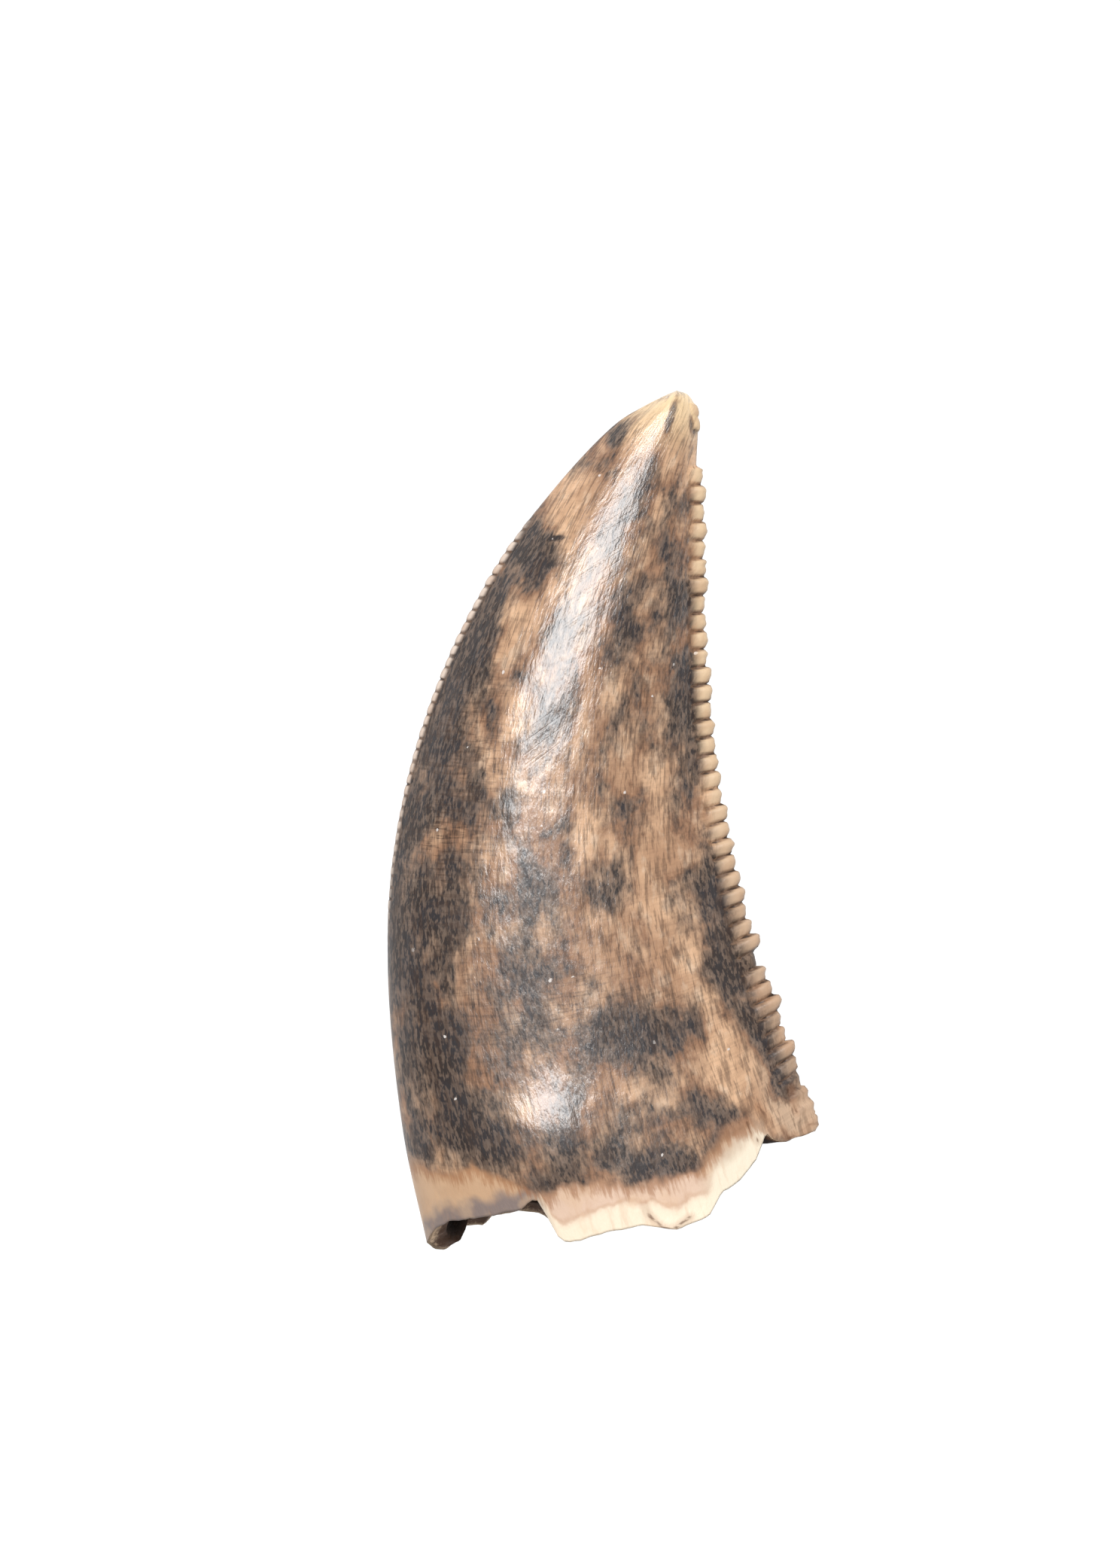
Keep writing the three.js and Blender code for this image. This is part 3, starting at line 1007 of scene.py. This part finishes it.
class Net:
    """Adds nodes to one node tree and joins them.

    Args:
        tree: the node tree of a material or a group.
    """

    def __init__(self, tree: bpy.types.NodeTree) -> None:
        """Keeps the tree."""
        self.tree = tree

    def join(self, socket: Socket, value: Value) -> None:
        """Links an output to an input, or sets the input to a plain value.

        Args:
            socket: the input.
            value: the output or the plain value.
        """
        if isinstance(value, Socket):
            self.tree.links.new(value, socket)
        else:
            socket.default_value = value

    def node(self, kind: str, settings: dict | None = None, **inputs: Value) -> bpy.types.Node:
        """Adds a node.

        Args:
            kind: its type's name, after ShaderNode.
            settings: properties to set on it.
            **inputs: what goes to each input, named with _ for a space, or by number as i0.

        Returns:
            The node.
        """
        node = self.tree.nodes.new(f"ShaderNode{kind}")
        for name, value in (settings or {}).items():
            setattr(node, name, value)
        for name, value in inputs.items():
            key = int(name[1:]) if name[1:].isdigit() else name.replace("_", " ")
            self.join(node.inputs[key], value)
        return node

    def use(self, group: bpy.types.NodeTree, **inputs: Value) -> bpy.types.Node:
        """Adds a group node."""
        return self.node("Group", {"node_tree": group}, **inputs)

    def math(self, operation: str, a: Value, b: Value = 0.0, clamp: bool = False) -> Socket:
        """One sum of two values, such as ABSOLUTE or SUBTRACT."""
        return self.node("Math", {"operation": operation, "use_clamp": clamp}, i0=a, i1=b).outputs[0]

    def plus(self, a: Value, b: Value, clamp: bool = False) -> Socket:
        """Adds two values."""
        return self.math("ADD", a, b, clamp)

    def times(self, a: Value, b: Value, clamp: bool = False) -> Socket:
        """Multiplies two values."""
        return self.math("MULTIPLY", a, b, clamp)

    def ramp(self, value: Value, low: float, high: float, start: float = 0.0, end: float = 1.0) -> Socket:
        """Eases from start to end as the value goes from low to high."""
        settings = {"interpolation_type": "SMOOTHSTEP"}
        return self.node("MapRange", settings, i0=value, i1=low, i2=high, i3=start, i4=end).outputs[0]

    def noise(
        self,
        vector: Socket,
        scale: float,
        detail: float = 2.0,
        roughness: float = 0.5,
        distortion: float = 0.0,
    ) -> Socket:
        """Noise between about 0.3 and 0.7.

        Args:
            vector: where to evaluate it.
            scale: waves in one unit of the vector.
            detail: how many times finer waves are added.
            roughness: strength of each finer wave beside the one before.
            distortion: how far the waves are bent.

        Returns:
            The value.
        """
        shape = {"Scale": scale, "Detail": detail, "Roughness": roughness, "Distortion": distortion}
        return self.node("TexNoise", Vector=vector, **shape).outputs[0]

    def stretch(self, vector: Socket, x: float, y: float, z: float) -> Socket:
        """Multiplies a vector's parts."""
        return self.node("VectorMath", {"operation": "MULTIPLY"}, i0=vector, i1=(x, y, z)).outputs[0]

    def mix(self, factor: Value, a: Socket | Colour, b: Socket | Colour) -> Socket:
        """Mixes two colours, each given as an output or as 0 to 255 values."""
        a, b = (linear(colour) if isinstance(colour, tuple) else colour for colour in (a, b))
        return self.node("Mix", {"data_type": "RGBA"}, i0=factor, i6=a, i7=b).outputs[2]

    def attribute(self, name: str, output: str = "Fac") -> Socket:
        """A value stored on the mesh."""
        return self.node("Attribute", {"attribute_name": name}).outputs[output]


def linear(colour: Colour) -> tuple[float, float, float, float]:
    """Turns 0 to 255 display values into linear light, by the usual 2.2 power."""
    return (*(round((part / 255.0) ** 2.2, 5) for part in colour), 1.0)


def blank_material(name: str) -> tuple[bpy.types.Material, Net]:
    """Makes a material without nodes.

    Args:
        name: of the material.

    Returns:
        The material, and the net that adds nodes to it.
    """
    material = bpy.data.materials.new(name)
    material.use_nodes = True
    material.node_tree.nodes.clear()
    return material, Net(material.node_tree)


class Effect:
    """A node group with named inputs and outputs. Each subclass adds one effect's nodes in draw().

    Attributes:
        inputs: name and socket type of each input, with its usual value.
        outputs: name and socket type of each output.
    """

    inputs: dict[str, tuple[str, float]] = {}
    outputs: dict[str, str] = {}

    def draw(self, net: Net, given: Sockets) -> Sockets:
        """Adds the effect's nodes and returns what goes to each output."""
        raise NotImplementedError

    def build(self) -> bpy.types.NodeTree:
        """Makes the group.

        Returns:
            The group.
        """
        tree = bpy.data.node_groups.new(type(self).__name__, "ShaderNodeTree")
        for name, (kind, usual) in self.inputs.items():
            socket = tree.interface.new_socket(name, in_out="INPUT", socket_type=f"NodeSocket{kind}")
            if kind == "Float":
                socket.default_value = usual
        for name, kind in self.outputs.items():
            tree.interface.new_socket(name, in_out="OUTPUT", socket_type=f"NodeSocket{kind}")
        entry, leave = tree.nodes.new("NodeGroupInput"), tree.nodes.new("NodeGroupOutput")
        made = self.draw(Net(tree), {socket.name: socket for socket in entry.outputs if socket.name})
        for name, socket in made.items():
            tree.links.new(socket, leave.inputs[name])
        return tree


class MineralStain(Effect):
    """Dark mineral stain: soft clouds with ragged edges, and how deep the colour is within them."""

    inputs = {"Flow": ("Vector", 0.0), "Bias": ("Float", 0.0)}
    outputs = {"Cloud": "Float", "Depth": "Float"}

    def draw(self, net: Net, given: Sockets) -> Sockets:
        """Clouds are noise of several sizes plus the bias. Two finer noises roughen the depth inside them.

        Args:
            net: adds the nodes.
            given: the group's inputs.

        Returns:
            The group's outputs.
        """
        flow = given["Flow"]
        broad = net.noise(net.stretch(flow, 1.0, 0.75, 1.0), 1.35, 5.0, 0.62, 0.2)
        cloud = net.plus(broad, net.times(given["Bias"], 0.14))
        fine = net.times(net.noise(net.stretch(flow, 1.15, 0.7, 1.0), 8.5, 3.0, 0.6, 0.5), 0.42)
        depth = net.ramp(net.plus(net.plus(cloud, fine), -0.21), 0.36, 0.72)
        specks = net.noise(net.stretch(flow, 1.2, 0.45, 1.0), 18.0, 2.0, 0.6)
        depth = net.times(depth, net.ramp(specks, 0.4, 0.58, 0.6, 1.14), clamp=True)
        return {"Cloud": net.ramp(cloud, 0.36, 0.66), "Depth": depth}


class WovenFibres(Effect):
    """Fine threads along the crown and across it, which together look woven, and a few long thin cracks."""

    inputs = {"Flow": ("Vector", 0.0)}
    outputs = {"Along": "Float", "Across": "Float", "Cracks": "Float"}

    def draw(self, net: Net, given: Sockets) -> Sockets:
        """Threads are noise drawn out one way. A crack is where such a noise crosses its middle value.

        Args:
            net: adds the nodes.
            given: the group's inputs.

        Returns:
            The group's outputs.
        """
        flow = given["Flow"]
        along = net.noise(net.stretch(flow, 11.0, 1.5, 2.0), 1.8, 3.0, 0.65, 0.3)
        across = net.noise(net.stretch(flow, 1.5, 13.0, 1.0), 1.8, 2.0, 0.6, 0.15)
        line = net.noise(net.stretch(flow, 5.5, 0.22, 0.6), 1.4, 2.0, 0.55, 0.3)
        gap = net.math("ABSOLUTE", net.plus(line, -0.5))
        some = net.ramp(net.noise(flow, 1.1, 1.0), 0.48, 0.6)
        return {
            "Along": net.ramp(along, 0.34, 0.66),
            "Across": net.ramp(across, 0.34, 0.66),
            "Cracks": net.times(net.ramp(gap, 0.012, 0.0), some),
        }


class SurfaceWrinkles(Effect):
    """Height of the enamel's fine wrinkles and of diagonal scratches."""

    inputs = {"Flow": ("Vector", 0.0)}
    outputs = {"Wrinkles": "Float", "Scratches": "Float"}

    def draw(self, net: Net, given: Sockets) -> Sockets:
        """Wrinkles are bent fine noise, drawn out along the fibres. Scratches are noise drawn out on a slant.

        Args:
            net: adds the nodes.
            given: the group's inputs.

        Returns:
            The group's outputs.
        """
        flow = given["Flow"]
        wrinkles = net.noise(net.stretch(flow, 1.0, 0.4, 1.0), 14.0, 3.0, 0.6, 0.12)
        turned = net.node("VectorRotate", {"rotation_type": "Z_AXIS"}, Vector=flow, Angle=-0.6).outputs[0]
        drawn = net.noise(net.stretch(turned, 0.3, 13.0, 0.5), 1.8, 1.0, 0.5)
        return {"Wrinkles": wrinkles, "Scratches": net.ramp(drawn, 0.56, 0.7)}


class DustFlecks(Effect):
    """A few tiny white flecks."""

    inputs = {"Flow": ("Vector", 0.0)}
    outputs = {"Mask": "Float"}

    def draw(self, net: Net, given: Sockets) -> Sockets:
        """The middles of a few cells, chosen by each cell's own colour, with ragged outlines.

        Args:
            net: adds the nodes.
            given: the group's inputs.

        Returns:
            The group's outputs.
        """
        cells = net.node("TexVoronoi", {"voronoi_dimensions": "2D"}, Vector=given["Flow"], Scale=3.2)
        ragged = net.times(net.noise(given["Flow"], 16.0, 2.0, 0.6), 0.3)
        middle = net.ramp(net.plus(cells.outputs["Distance"], ragged), 0.22, 0.19)
        chosen = net.node("SeparateColor", Color=cells.outputs["Color"]).outputs[0]
        return {"Mask": net.times(middle, net.ramp(chosen, 0.94, 0.95))}


class DentineColour(Effect):
    """Bare dentine near the break: bands that end grey at the front and cream at the rear.

    Attributes:
        sand: the front end, away from the break.
        ash: the front end, at the break.
        pink: the middle, away from the break.
        cream: the middle, at the break.
        seam: the thin line between the two.
        clay: the rear end, away from the break.
        milk: the rear end, at the break.
        grain: the fine lines along the fibres.
        patch: the soft patches.
    """

    inputs = {"Flow": ("Vector", 0.0), "Across": ("Float", 0.5), "Rim": ("Float", 0.2)}
    outputs = {"Colour": "Color"}
    sand: Colour = (204, 166, 132)
    ash: Colour = (138, 122, 116)
    pink: Colour = (228, 196, 172)
    cream: Colour = (252, 234, 208)
    seam: Colour = (196, 150, 118)
    clay: Colour = (186, 152, 126)
    milk: Colour = (246, 232, 208)
    grain: Colour = (196, 150, 114)
    patch: Colour = (226, 188, 150)

    def draw(self, net: Net, given: Sockets) -> Sockets:
        """Each band is a mix by the distance above the break, which a noise makes wavy.

        Args:
            net: adds the nodes.
            given: the group's inputs.

        Returns:
            The group's outputs.
        """
        across, flow = given["Across"], given["Flow"]
        wobble = net.times(net.plus(net.noise(flow, 3.0, 3.0, 0.5), -0.5), 0.35)
        rim = net.plus(given["Rim"], wobble)
        front = net.mix(net.ramp(rim, 0.3, 0.1), self.sand, self.ash)
        middle = net.mix(net.ramp(rim, 0.38, 0.18), self.pink, self.cream)
        off_seam = net.math("ABSOLUTE", net.plus(rim, -0.31))
        middle = net.mix(net.ramp(off_seam, 0.06, 0.0, 0.0, 0.45), middle, self.seam)
        rear = net.mix(net.ramp(rim, 0.62, 0.16), self.clay, self.milk)
        colour = net.mix(net.ramp(across, 0.27, 0.33), front, middle)
        colour = net.mix(net.ramp(across, 0.66, 0.76), colour, rear)
        grain = net.noise(net.stretch(flow, 6.0, 1.0, 2.0), 2.0, 3.0, 0.6)
        colour = net.mix(net.ramp(grain, 0.5, 0.75, 0.0, 0.25), colour, self.grain)
        patches = net.ramp(net.noise(flow, 2.4, 3.0, 0.55), 0.46, 0.66, 0.0, 0.35)
        return {"Colour": net.mix(patches, colour, self.patch)}


@dataclass(frozen=True)
class EnamelGuide:
    """What the enamel's colour, gloss and relief follow, as outputs of nodes.

    Args:
        flow: coordinates in mm that follow the crown's fibres.
        across: share of the way from the front edge to the rear edge.
        above: mm above the base line.
        rim: mm above the break.
        tone: a slow change over the whole crown.
        mottle: spots of about 0.2 mm.
        cloud: the stain's clouds.
        depth: how deep the stain is.
        threads: the threads along the crown.
        cross_threads: the threads across it.
        cracks: the long thin cracks.
        enamel: mm above the enamel's ragged end.
        teeth: 1 on the saw teeth.
        slit: 1 in the slits between them.
    """

    flow: Socket
    across: Socket
    above: Socket
    rim: Socket
    tone: Socket
    mottle: Socket
    cloud: Socket
    depth: Socket
    threads: Socket
    cross_threads: Socket
    cracks: Socket
    enamel: Socket
    teeth: Socket
    slit: Socket


@dataclass(frozen=True)
class EnamelFinish:
    """Glossy stained enamel, with ivory saw teeth and the bare dentine under its ragged end.

    Args:
        tan: the usual ground colour.
        peach: the lighter ground colour.
        bone: small paler spots of it.
        cream: the tip.
        brown: the stained ground.
        rust: the tint at the fringe of the stain.
        black: the stain.
        slate: the stain where it is bluish.
        umber: the stain where it is thin.
        thread: the fibres' fine dark lines, and the cracks.
        dust: the white flecks.
        ivory: the rear saw teeth.
        worn: the rear saw teeth near the base, and the corner beside them.
        pale: the front saw teeth.
        slit_shade: painted shade on the sides of the slits between saw teeth.
        slit_sediment_and_shade: the bottom of the slits, painted shade with some dark sediment.
        roughness: of the body under the glossy surface.
        specular: strength of the body's own shine.
        coat_roughness: of the glossy surface.
        coat_ior: refraction of the glossy surface.
        wrinkle: height of the fine wrinkles, in metres.
    """

    tan: Colour = (184, 142, 110)
    peach: Colour = (230, 186, 148)
    bone: Colour = (232, 204, 176)
    cream: Colour = (250, 218, 172)
    brown: Colour = (138, 118, 104)
    rust: Colour = (158, 104, 66)
    black: Colour = (42, 35, 34)
    slate: Colour = (44, 42, 46)
    umber: Colour = (104, 74, 54)
    thread: Colour = (66, 48, 38)
    dust: Colour = (236, 228, 222)
    ivory: Colour = (224, 194, 158)
    worn: Colour = (202, 170, 142)
    pale: Colour = (230, 210, 194)
    # Painted shade in the slits between saw teeth: brown on their sides, near black with some sediment at
    # their bottom.
    slit_shade: Colour = (140, 108, 84)
    slit_sediment_and_shade: Colour = (54, 41, 34)
    roughness: float = 0.46
    specular: float = 0.4
    coat_roughness: float = 0.22
    coat_ior: float = 1.68
    wrinkle: float = 9e-6

    def guide(self, net: Net, effects: Groups) -> EnamelGuide:
        """Adds the nodes that the rest of the material follows.

        Args:
            net: adds the nodes.
            effects: the node groups by name.

        Returns:
            Their outputs.
        """
        flow = net.attribute("flow", "Vector")
        across, above, rim = net.node("SeparateXYZ", Vector=net.attribute("place", "Vector")).outputs
        mineral = net.use(effects["MineralStain"], Flow=flow, Bias=net.attribute("stain")).outputs
        fibres = net.use(effects["WovenFibres"], Flow=flow).outputs
        mottle = net.noise(net.stretch(flow, 1.0, 0.6, 1.0), 4.5, 3.0, 0.6)
        ragged = net.times(net.plus(mottle, -0.5), 0.2)
        return EnamelGuide(
            flow=flow,
            across=across,
            above=above,
            rim=rim,
            tone=net.noise(flow, 1.7, 3.0),
            mottle=mottle,
            cloud=mineral["Cloud"],
            depth=mineral["Depth"],
            threads=fibres["Along"],
            cross_threads=fibres["Across"],
            cracks=fibres["Cracks"],
            enamel=net.plus(net.attribute("enamel"), ragged),
            teeth=net.attribute("ivory"),
            slit=net.attribute("slit"),
        )

    def ground(self, net: Net, guide: EnamelGuide) -> Socket:
        """The enamel's own colour: spotted tan and peach, brown under the stain, and cream at the tip.

        Args:
            net: adds the nodes.
            guide: what the colour follows.

        Returns:
            The colour.
        """
        warmth = net.times(net.attribute("warmth"), 0.5)
        warm = net.plus(net.ramp(guide.tone, 0.36, 0.66), warmth, clamp=True)
        colour = net.mix(warm, self.tan, self.peach)
        colour = net.mix(net.ramp(guide.mottle, 0.45, 0.7, 0.0, 0.45), colour, self.tan)
        colour = net.mix(net.ramp(guide.mottle, 0.48, 0.3, 0.0, 0.5), colour, self.bone)
        colour = net.mix(net.ramp(guide.above, 10.1, 11.2), colour, self.cream)
        corner = net.times(net.ramp(guide.across, 0.88, 0.95), net.ramp(guide.above, 2.2, 0.6))
        colour = net.mix(corner, colour, self.worn)
        colour = net.mix(net.times(guide.cloud, 0.85), colour, self.brown)
        fringe = net.times(net.ramp(guide.cloud, 0.05, 0.4), net.ramp(guide.cloud, 0.9, 0.5))
        tint = net.times(fringe, net.ramp(guide.tone, 0.6, 0.42))
        colour = net.mix(net.times(tint, 0.4), colour, self.rust)
        return net.mix(net.times(guide.cracks, 0.6), colour, self.thread)

    def stained(self, net: Net, guide: EnamelGuide, colour: Socket) -> Socket:
        """Lays the stain and the woven threads over the ground.

        Args:
            net: adds the nodes.
            guide: what the colour follows.
            colour: the ground.

        Returns:
            The colour.
        """
        dark = net.mix(net.ramp(guide.tone, 0.4, 0.6), self.slate, self.black)
        dark = net.mix(net.ramp(guide.cloud, 0.7, 0.1), dark, self.umber)
        colour = net.mix(net.times(guide.depth, 0.97), colour, dark)
        hatch = net.plus(net.times(net.attribute("hatch"), 0.32), 0.1)
        weave = net.times(net.ramp(guide.cross_threads, 0.45, 1.0), hatch)
        weave = net.plus(weave, net.ramp(guide.threads, 0.4, 1.0, 0.0, 0.48))
        weave = net.times(weave, net.ramp(guide.above, 11.3, 10.4), clamp=True)
        return net.mix(weave, colour, self.thread)

    def dusted(self, net: Net, guide: EnamelGuide, colour: Socket, dust: bpy.types.NodeTree) -> Socket:
        """Adds the white flecks, except at the front edge, where they would be drawn out.

        Args:
            net: adds the nodes.
            guide: what the colour follows.
            colour: the colour under the flecks.
            dust: the group that places them.

        Returns:
            The colour.
        """
        flecks = net.use(dust, Flow=guide.flow).outputs[0]
        flecks = net.times(flecks, net.ramp(guide.across, 0.04, 0.1, 0.0, 0.8))
        return net.mix(flecks, colour, self.dust)

    def bared(self, net: Net, guide: EnamelGuide, colour: Socket, bands: bpy.types.NodeTree) -> Socket:
        """Bares the dentine under the enamel's rusty, ragged end, and draws the cracks near the break.

        Args:
            net: adds the nodes.
            guide: what the colour follows.
            colour: the enamel.
            bands: the group that colours the dentine.

        Returns:
            The colour.
        """
        dentine = net.use(bands, Flow=guide.flow, Across=guide.across, Rim=guide.rim).outputs[0]
        tongues = net.plus(guide.enamel, net.times(guide.threads, 0.14))
        dentine = net.mix(net.ramp(tongues, -0.12, 0.08, 0.0, 0.65), dentine, self.rust)
        sharp = net.times(guide.enamel, net.ramp(guide.across, 0.66, 0.8, 1.0, 0.35))
        colour = net.mix(net.ramp(sharp, -0.05, 0.09), dentine, colour)
        crack = net.plus(net.attribute("crack"), net.times(guide.mottle, 0.05))
        colour = net.mix(net.ramp(crack, 0.055, 0.03, 0.0, 0.75), colour, self.thread)
        return net.mix(net.ramp(crack, 0.12, 0.04, 0.0, 0.3), colour, self.rust)

    def sawn(self, net: Net, guide: EnamelGuide, colour: Socket) -> Socket:
        """Colours the saw teeth, and paints shade into the slits between them, with some sediment at their
        bottom.

        Args:
            net: adds the nodes.
            guide: what the colour follows.
            colour: the colour beside the teeth.

        Returns:
            The colour.
        """
        ivory = net.mix(net.ramp(guide.above, 2.0, 7.5), self.worn, self.ivory)
        ivory = net.mix(net.ramp(guide.across, 0.4, 0.6), self.pale, ivory)
        ivory = net.mix(net.ramp(guide.mottle, 0.4, 0.7, 0.0, 0.4), ivory, self.tan)
        colour = net.mix(net.ramp(guide.teeth, 0.1, 0.75), colour, ivory)
        # Painted shade in the slits: brown on their sides, near black at their bottom with some sediment,
        # less of it towards the tip.
        colour = net.mix(net.ramp(guide.slit, 0.0, 0.45, 0.0, 0.5), colour, self.slit_shade)
        tipward_fade = net.ramp(guide.above, 8.0, 10.0, 1.0, 0.45)
        slit_sediment_and_shade = net.times(net.ramp(guide.slit, 0.35, 0.8, 0.0, 0.85), tipward_fade)
        return net.mix(slit_sediment_and_shade, colour, self.slit_sediment_and_shade)

    def gloss(self, net: Net, guide: EnamelGuide) -> Socket:
        """How glossy the surface is: least on dentine, on saw teeth, in slits and at the front edge.

        Args:
            net: adds the nodes.
            guide: what the gloss follows.

        Returns:
            The share of the glossy surface.
        """
        gloss = net.ramp(guide.enamel, -0.05, 0.05, 0.35, 1.0)
        gloss = net.times(gloss, net.ramp(guide.teeth, 0.0, 0.1, 1.0, 0.1))
        gloss = net.times(gloss, net.ramp(guide.slit, 0.0, 0.2, 1.0, 0.05))
        return net.times(gloss, net.ramp(guide.across, 0.0, 0.28, 0.06, 1.0))

    def bump(self, net: Net, guide: EnamelGuide, wrinkles: bpy.types.NodeTree) -> Socket:
        """Turns the wrinkles and scratches into a relief.

        Args:
            net: adds the nodes.
            guide: what the relief follows.
            wrinkles: the group that gives their heights.

        Returns:
            The normal.
        """
        relief = net.use(wrinkles, Flow=guide.flow).outputs
        scratches = net.times(relief["Scratches"], net.attribute("scratch"))
        height = net.plus(relief["Wrinkles"], net.times(scratches, -0.16))
        return net.node("Bump", Height=height, Distance=self.wrinkle).outputs[0]

    def build(self, effects: Groups) -> bpy.types.Material:
        """Makes the material.

        Args:
            effects: the node groups by name.

        Returns:
            The material.
        """
        material, net = blank_material("stained_enamel")
        guide = self.guide(net, effects)
        colour = self.stained(net, guide, self.ground(net, guide))
        colour = self.dusted(net, guide, colour, effects["DustFlecks"])
        colour = self.bared(net, guide, colour, effects["DentineColour"])
        colour = self.sawn(net, guide, colour)
        bump = self.bump(net, guide, effects["SurfaceWrinkles"])
        shader = net.node("BsdfPrincipled", Base_Color=colour, Roughness=self.roughness, Normal=bump)
        net.join(shader.inputs["Coat Weight"], self.gloss(net, guide))
        net.join(shader.inputs["Coat Normal"], bump)
        shader.inputs["Specular IOR Level"].default_value = self.specular
        shader.inputs["Coat Roughness"].default_value = self.coat_roughness
        shader.inputs["Coat IOR"].default_value = self.coat_ior
        net.node("OutputMaterial", Surface=shader.outputs[0])
        return material


@dataclass(frozen=True)
class HollowFinish:
    """The broken rim's cream dentine, darkening to brown-black inside the cavity: sediment and painted shade.

    Args:
        cream: the rim.
        brown: the cavity's wall behind the rim, sediment with painted shade.
        black: its depth, painted shade with sediment.
        roughness: of the whole.
        specular: strength of its shine.
        grain: height of its grit, in metres.
    """

    cream: Colour = (222, 190, 158)
    brown: Colour = (92, 66, 50)
    black: Colour = (38, 27, 21)
    roughness: float = 0.75
    specular: float = 0.2
    grain: float = 2e-5

    def build(self, effects: Groups) -> bpy.types.Material:
        """Makes the material.

        Args:
            effects: the node groups by name.

        Returns:
            The material.
        """
        material, net = blank_material("pulp_cavity")
        flow = net.attribute("flow", "Vector")
        streaks = net.use(effects["WovenFibres"], Flow=flow).outputs["Along"]
        grit = net.noise(flow, 12.0, 4.0, 0.65)
        rough = net.plus(net.times(streaks, 0.05), net.times(grit, 0.4))
        # The colour darkens with the cavity value, from cream at the rim's outer lip to brown and near black
        # inside: painted shade, with the sediment's own brown.
        deep = net.plus(net.attribute("cavity"), net.plus(rough, -0.22))
        colour = net.mix(net.ramp(deep, 0.02, 0.24), self.cream, self.brown)
        colour = net.mix(net.ramp(deep, 0.22, 0.6), colour, self.black)
        colour = net.mix(net.ramp(grit, 0.5, 0.72, 0.0, 0.3), colour, self.brown)
        bump = net.node("Bump", Height=grit, Distance=self.grain).outputs[0]
        shader = net.node("BsdfPrincipled", Base_Color=colour, Roughness=self.roughness, Normal=bump)
        shader.inputs["Specular IOR Level"].default_value = self.specular
        net.node("OutputMaterial", Surface=shader.outputs[0])
        return material


@dataclass
class Studio:
    """The pale floor, the soft light and the camera that looks straight down. Sizes are in mm.

    Args:
        frame_height: height of the picture at the plane of the edges.
        centre: x and y under the middle of the picture.
        lens: focal length.
        sensor: height of the sensor.
        focus_height: height of the plane of the edges.
        near: distance from the camera where the picture begins, in m.
        far: distance where it ends, in m.
        floor_half: half the floor's side.
        floor_tones: the two colours that the floor varies between.
        floor_scale: waves of that variation in a metre.
        floor_glow: strength of the floor's own light.
        key_place: middle of the soft light.
        key_size: width and height of the soft light.
        key_power: of the soft light, in watts.
        sky: strength of the even light from all round.
    """

    frame_height: float = 20.83
    centre: tuple[float, float] = (-0.574, 0.494)
    lens: float = 180.0
    sensor: float = 36.0
    focus_height: float = 1.08
    near: float = 0.005
    far: float = 5.0
    floor_half: float = 400.0
    floor_tones: tuple[Colour, Colour] = ((250, 250, 250), (255, 255, 255))
    floor_scale: float = 60.0
    floor_glow: float = 1.12
    key_place: tuple[float, float, float] = (-12.0, 180.0, 470.0)
    key_size: tuple[float, float] = (430.0, 210.0)
    key_power: float = 3.0
    sky: float = 0.2

    def camera(self) -> None:
        """Adds the camera, with its top towards the tip."""
        data = bpy.data.cameras.new("camera")
        data.lens = self.lens
        data.sensor_width = self.sensor
        data.clip_start = self.near
        data.clip_end = self.far
        camera = bpy.data.objects.new("camera", data)
        distance = self.lens * self.frame_height / self.sensor + self.focus_height
        camera.location = (self.centre[0] * MM, self.centre[1] * MM, distance * MM)
        bpy.context.scene.collection.objects.link(camera)
        bpy.context.scene.camera = camera

    def key(self) -> None:
        """Adds the soft light, an area that points at the crown."""
        data = bpy.data.lights.new("key", "AREA")
        data.shape = "RECTANGLE"
        data.size, data.size_y = (size * MM for size in self.key_size)
        data.energy = self.key_power
        lamp = bpy.data.objects.new("key", data)
        lamp.location = [place * MM for place in self.key_place]
        lamp.rotation_euler = (-lamp.location).to_track_quat("-Z", "Y").to_euler()
        bpy.context.scene.collection.objects.link(lamp)

    def floor(self) -> None:
        """Adds the floor, which glows evenly, so that no shadow shows on it."""
        half = self.floor_half * MM
        corners = [(-half, -half, 0), (half, -half, 0), (half, half, 0), (-half, half, 0)]
        mesh = bpy.data.meshes.new("floor")
        mesh.from_pydata(corners, [], [(0, 1, 2, 3)])
        material, net = blank_material("pale_floor")
        position = net.node("TexCoord").outputs["Object"]
        colour = net.mix(net.noise(position, self.floor_scale, 0.0), *self.floor_tones)
        glow = net.node("Emission", Color=colour, Strength=self.floor_glow)
        net.node("OutputMaterial", Surface=glow.outputs[0])
        mesh.materials.append(material)
        floor = bpy.data.objects.new("floor", mesh)
        bpy.context.scene.collection.objects.link(floor)

    def build(self) -> None:
        """Sets the whole stage."""
        self.camera()
        self.floor()
        self.key()
        world = bpy.data.worlds.new("studio")
        world.use_nodes = True
        background = world.node_tree.nodes["Background"]
        background.inputs["Color"].default_value = (1.0, 1.0, 1.0, 1.0)
        background.inputs["Strength"].default_value = self.sky
        bpy.context.scene.world = world
        bpy.context.scene.view_settings.view_transform = "Standard"


def main() -> None:
    """Builds the scene round the frame."""
    logging.basicConfig(level=logging.INFO, format="%(name)s: %(message)s")
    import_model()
    kinds = (MineralStain, WovenFibres, SurfaceWrinkles, DustFlecks, DentineColour)
    effects = {kind.__name__: kind().build() for kind in kinds}
    crown = Crown().build([EnamelFinish().build(effects), HollowFinish().build(effects)])
    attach(crown, "root")
    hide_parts("tooth_crown")
    Studio().build()


if __name__ == "__main__":
    main()
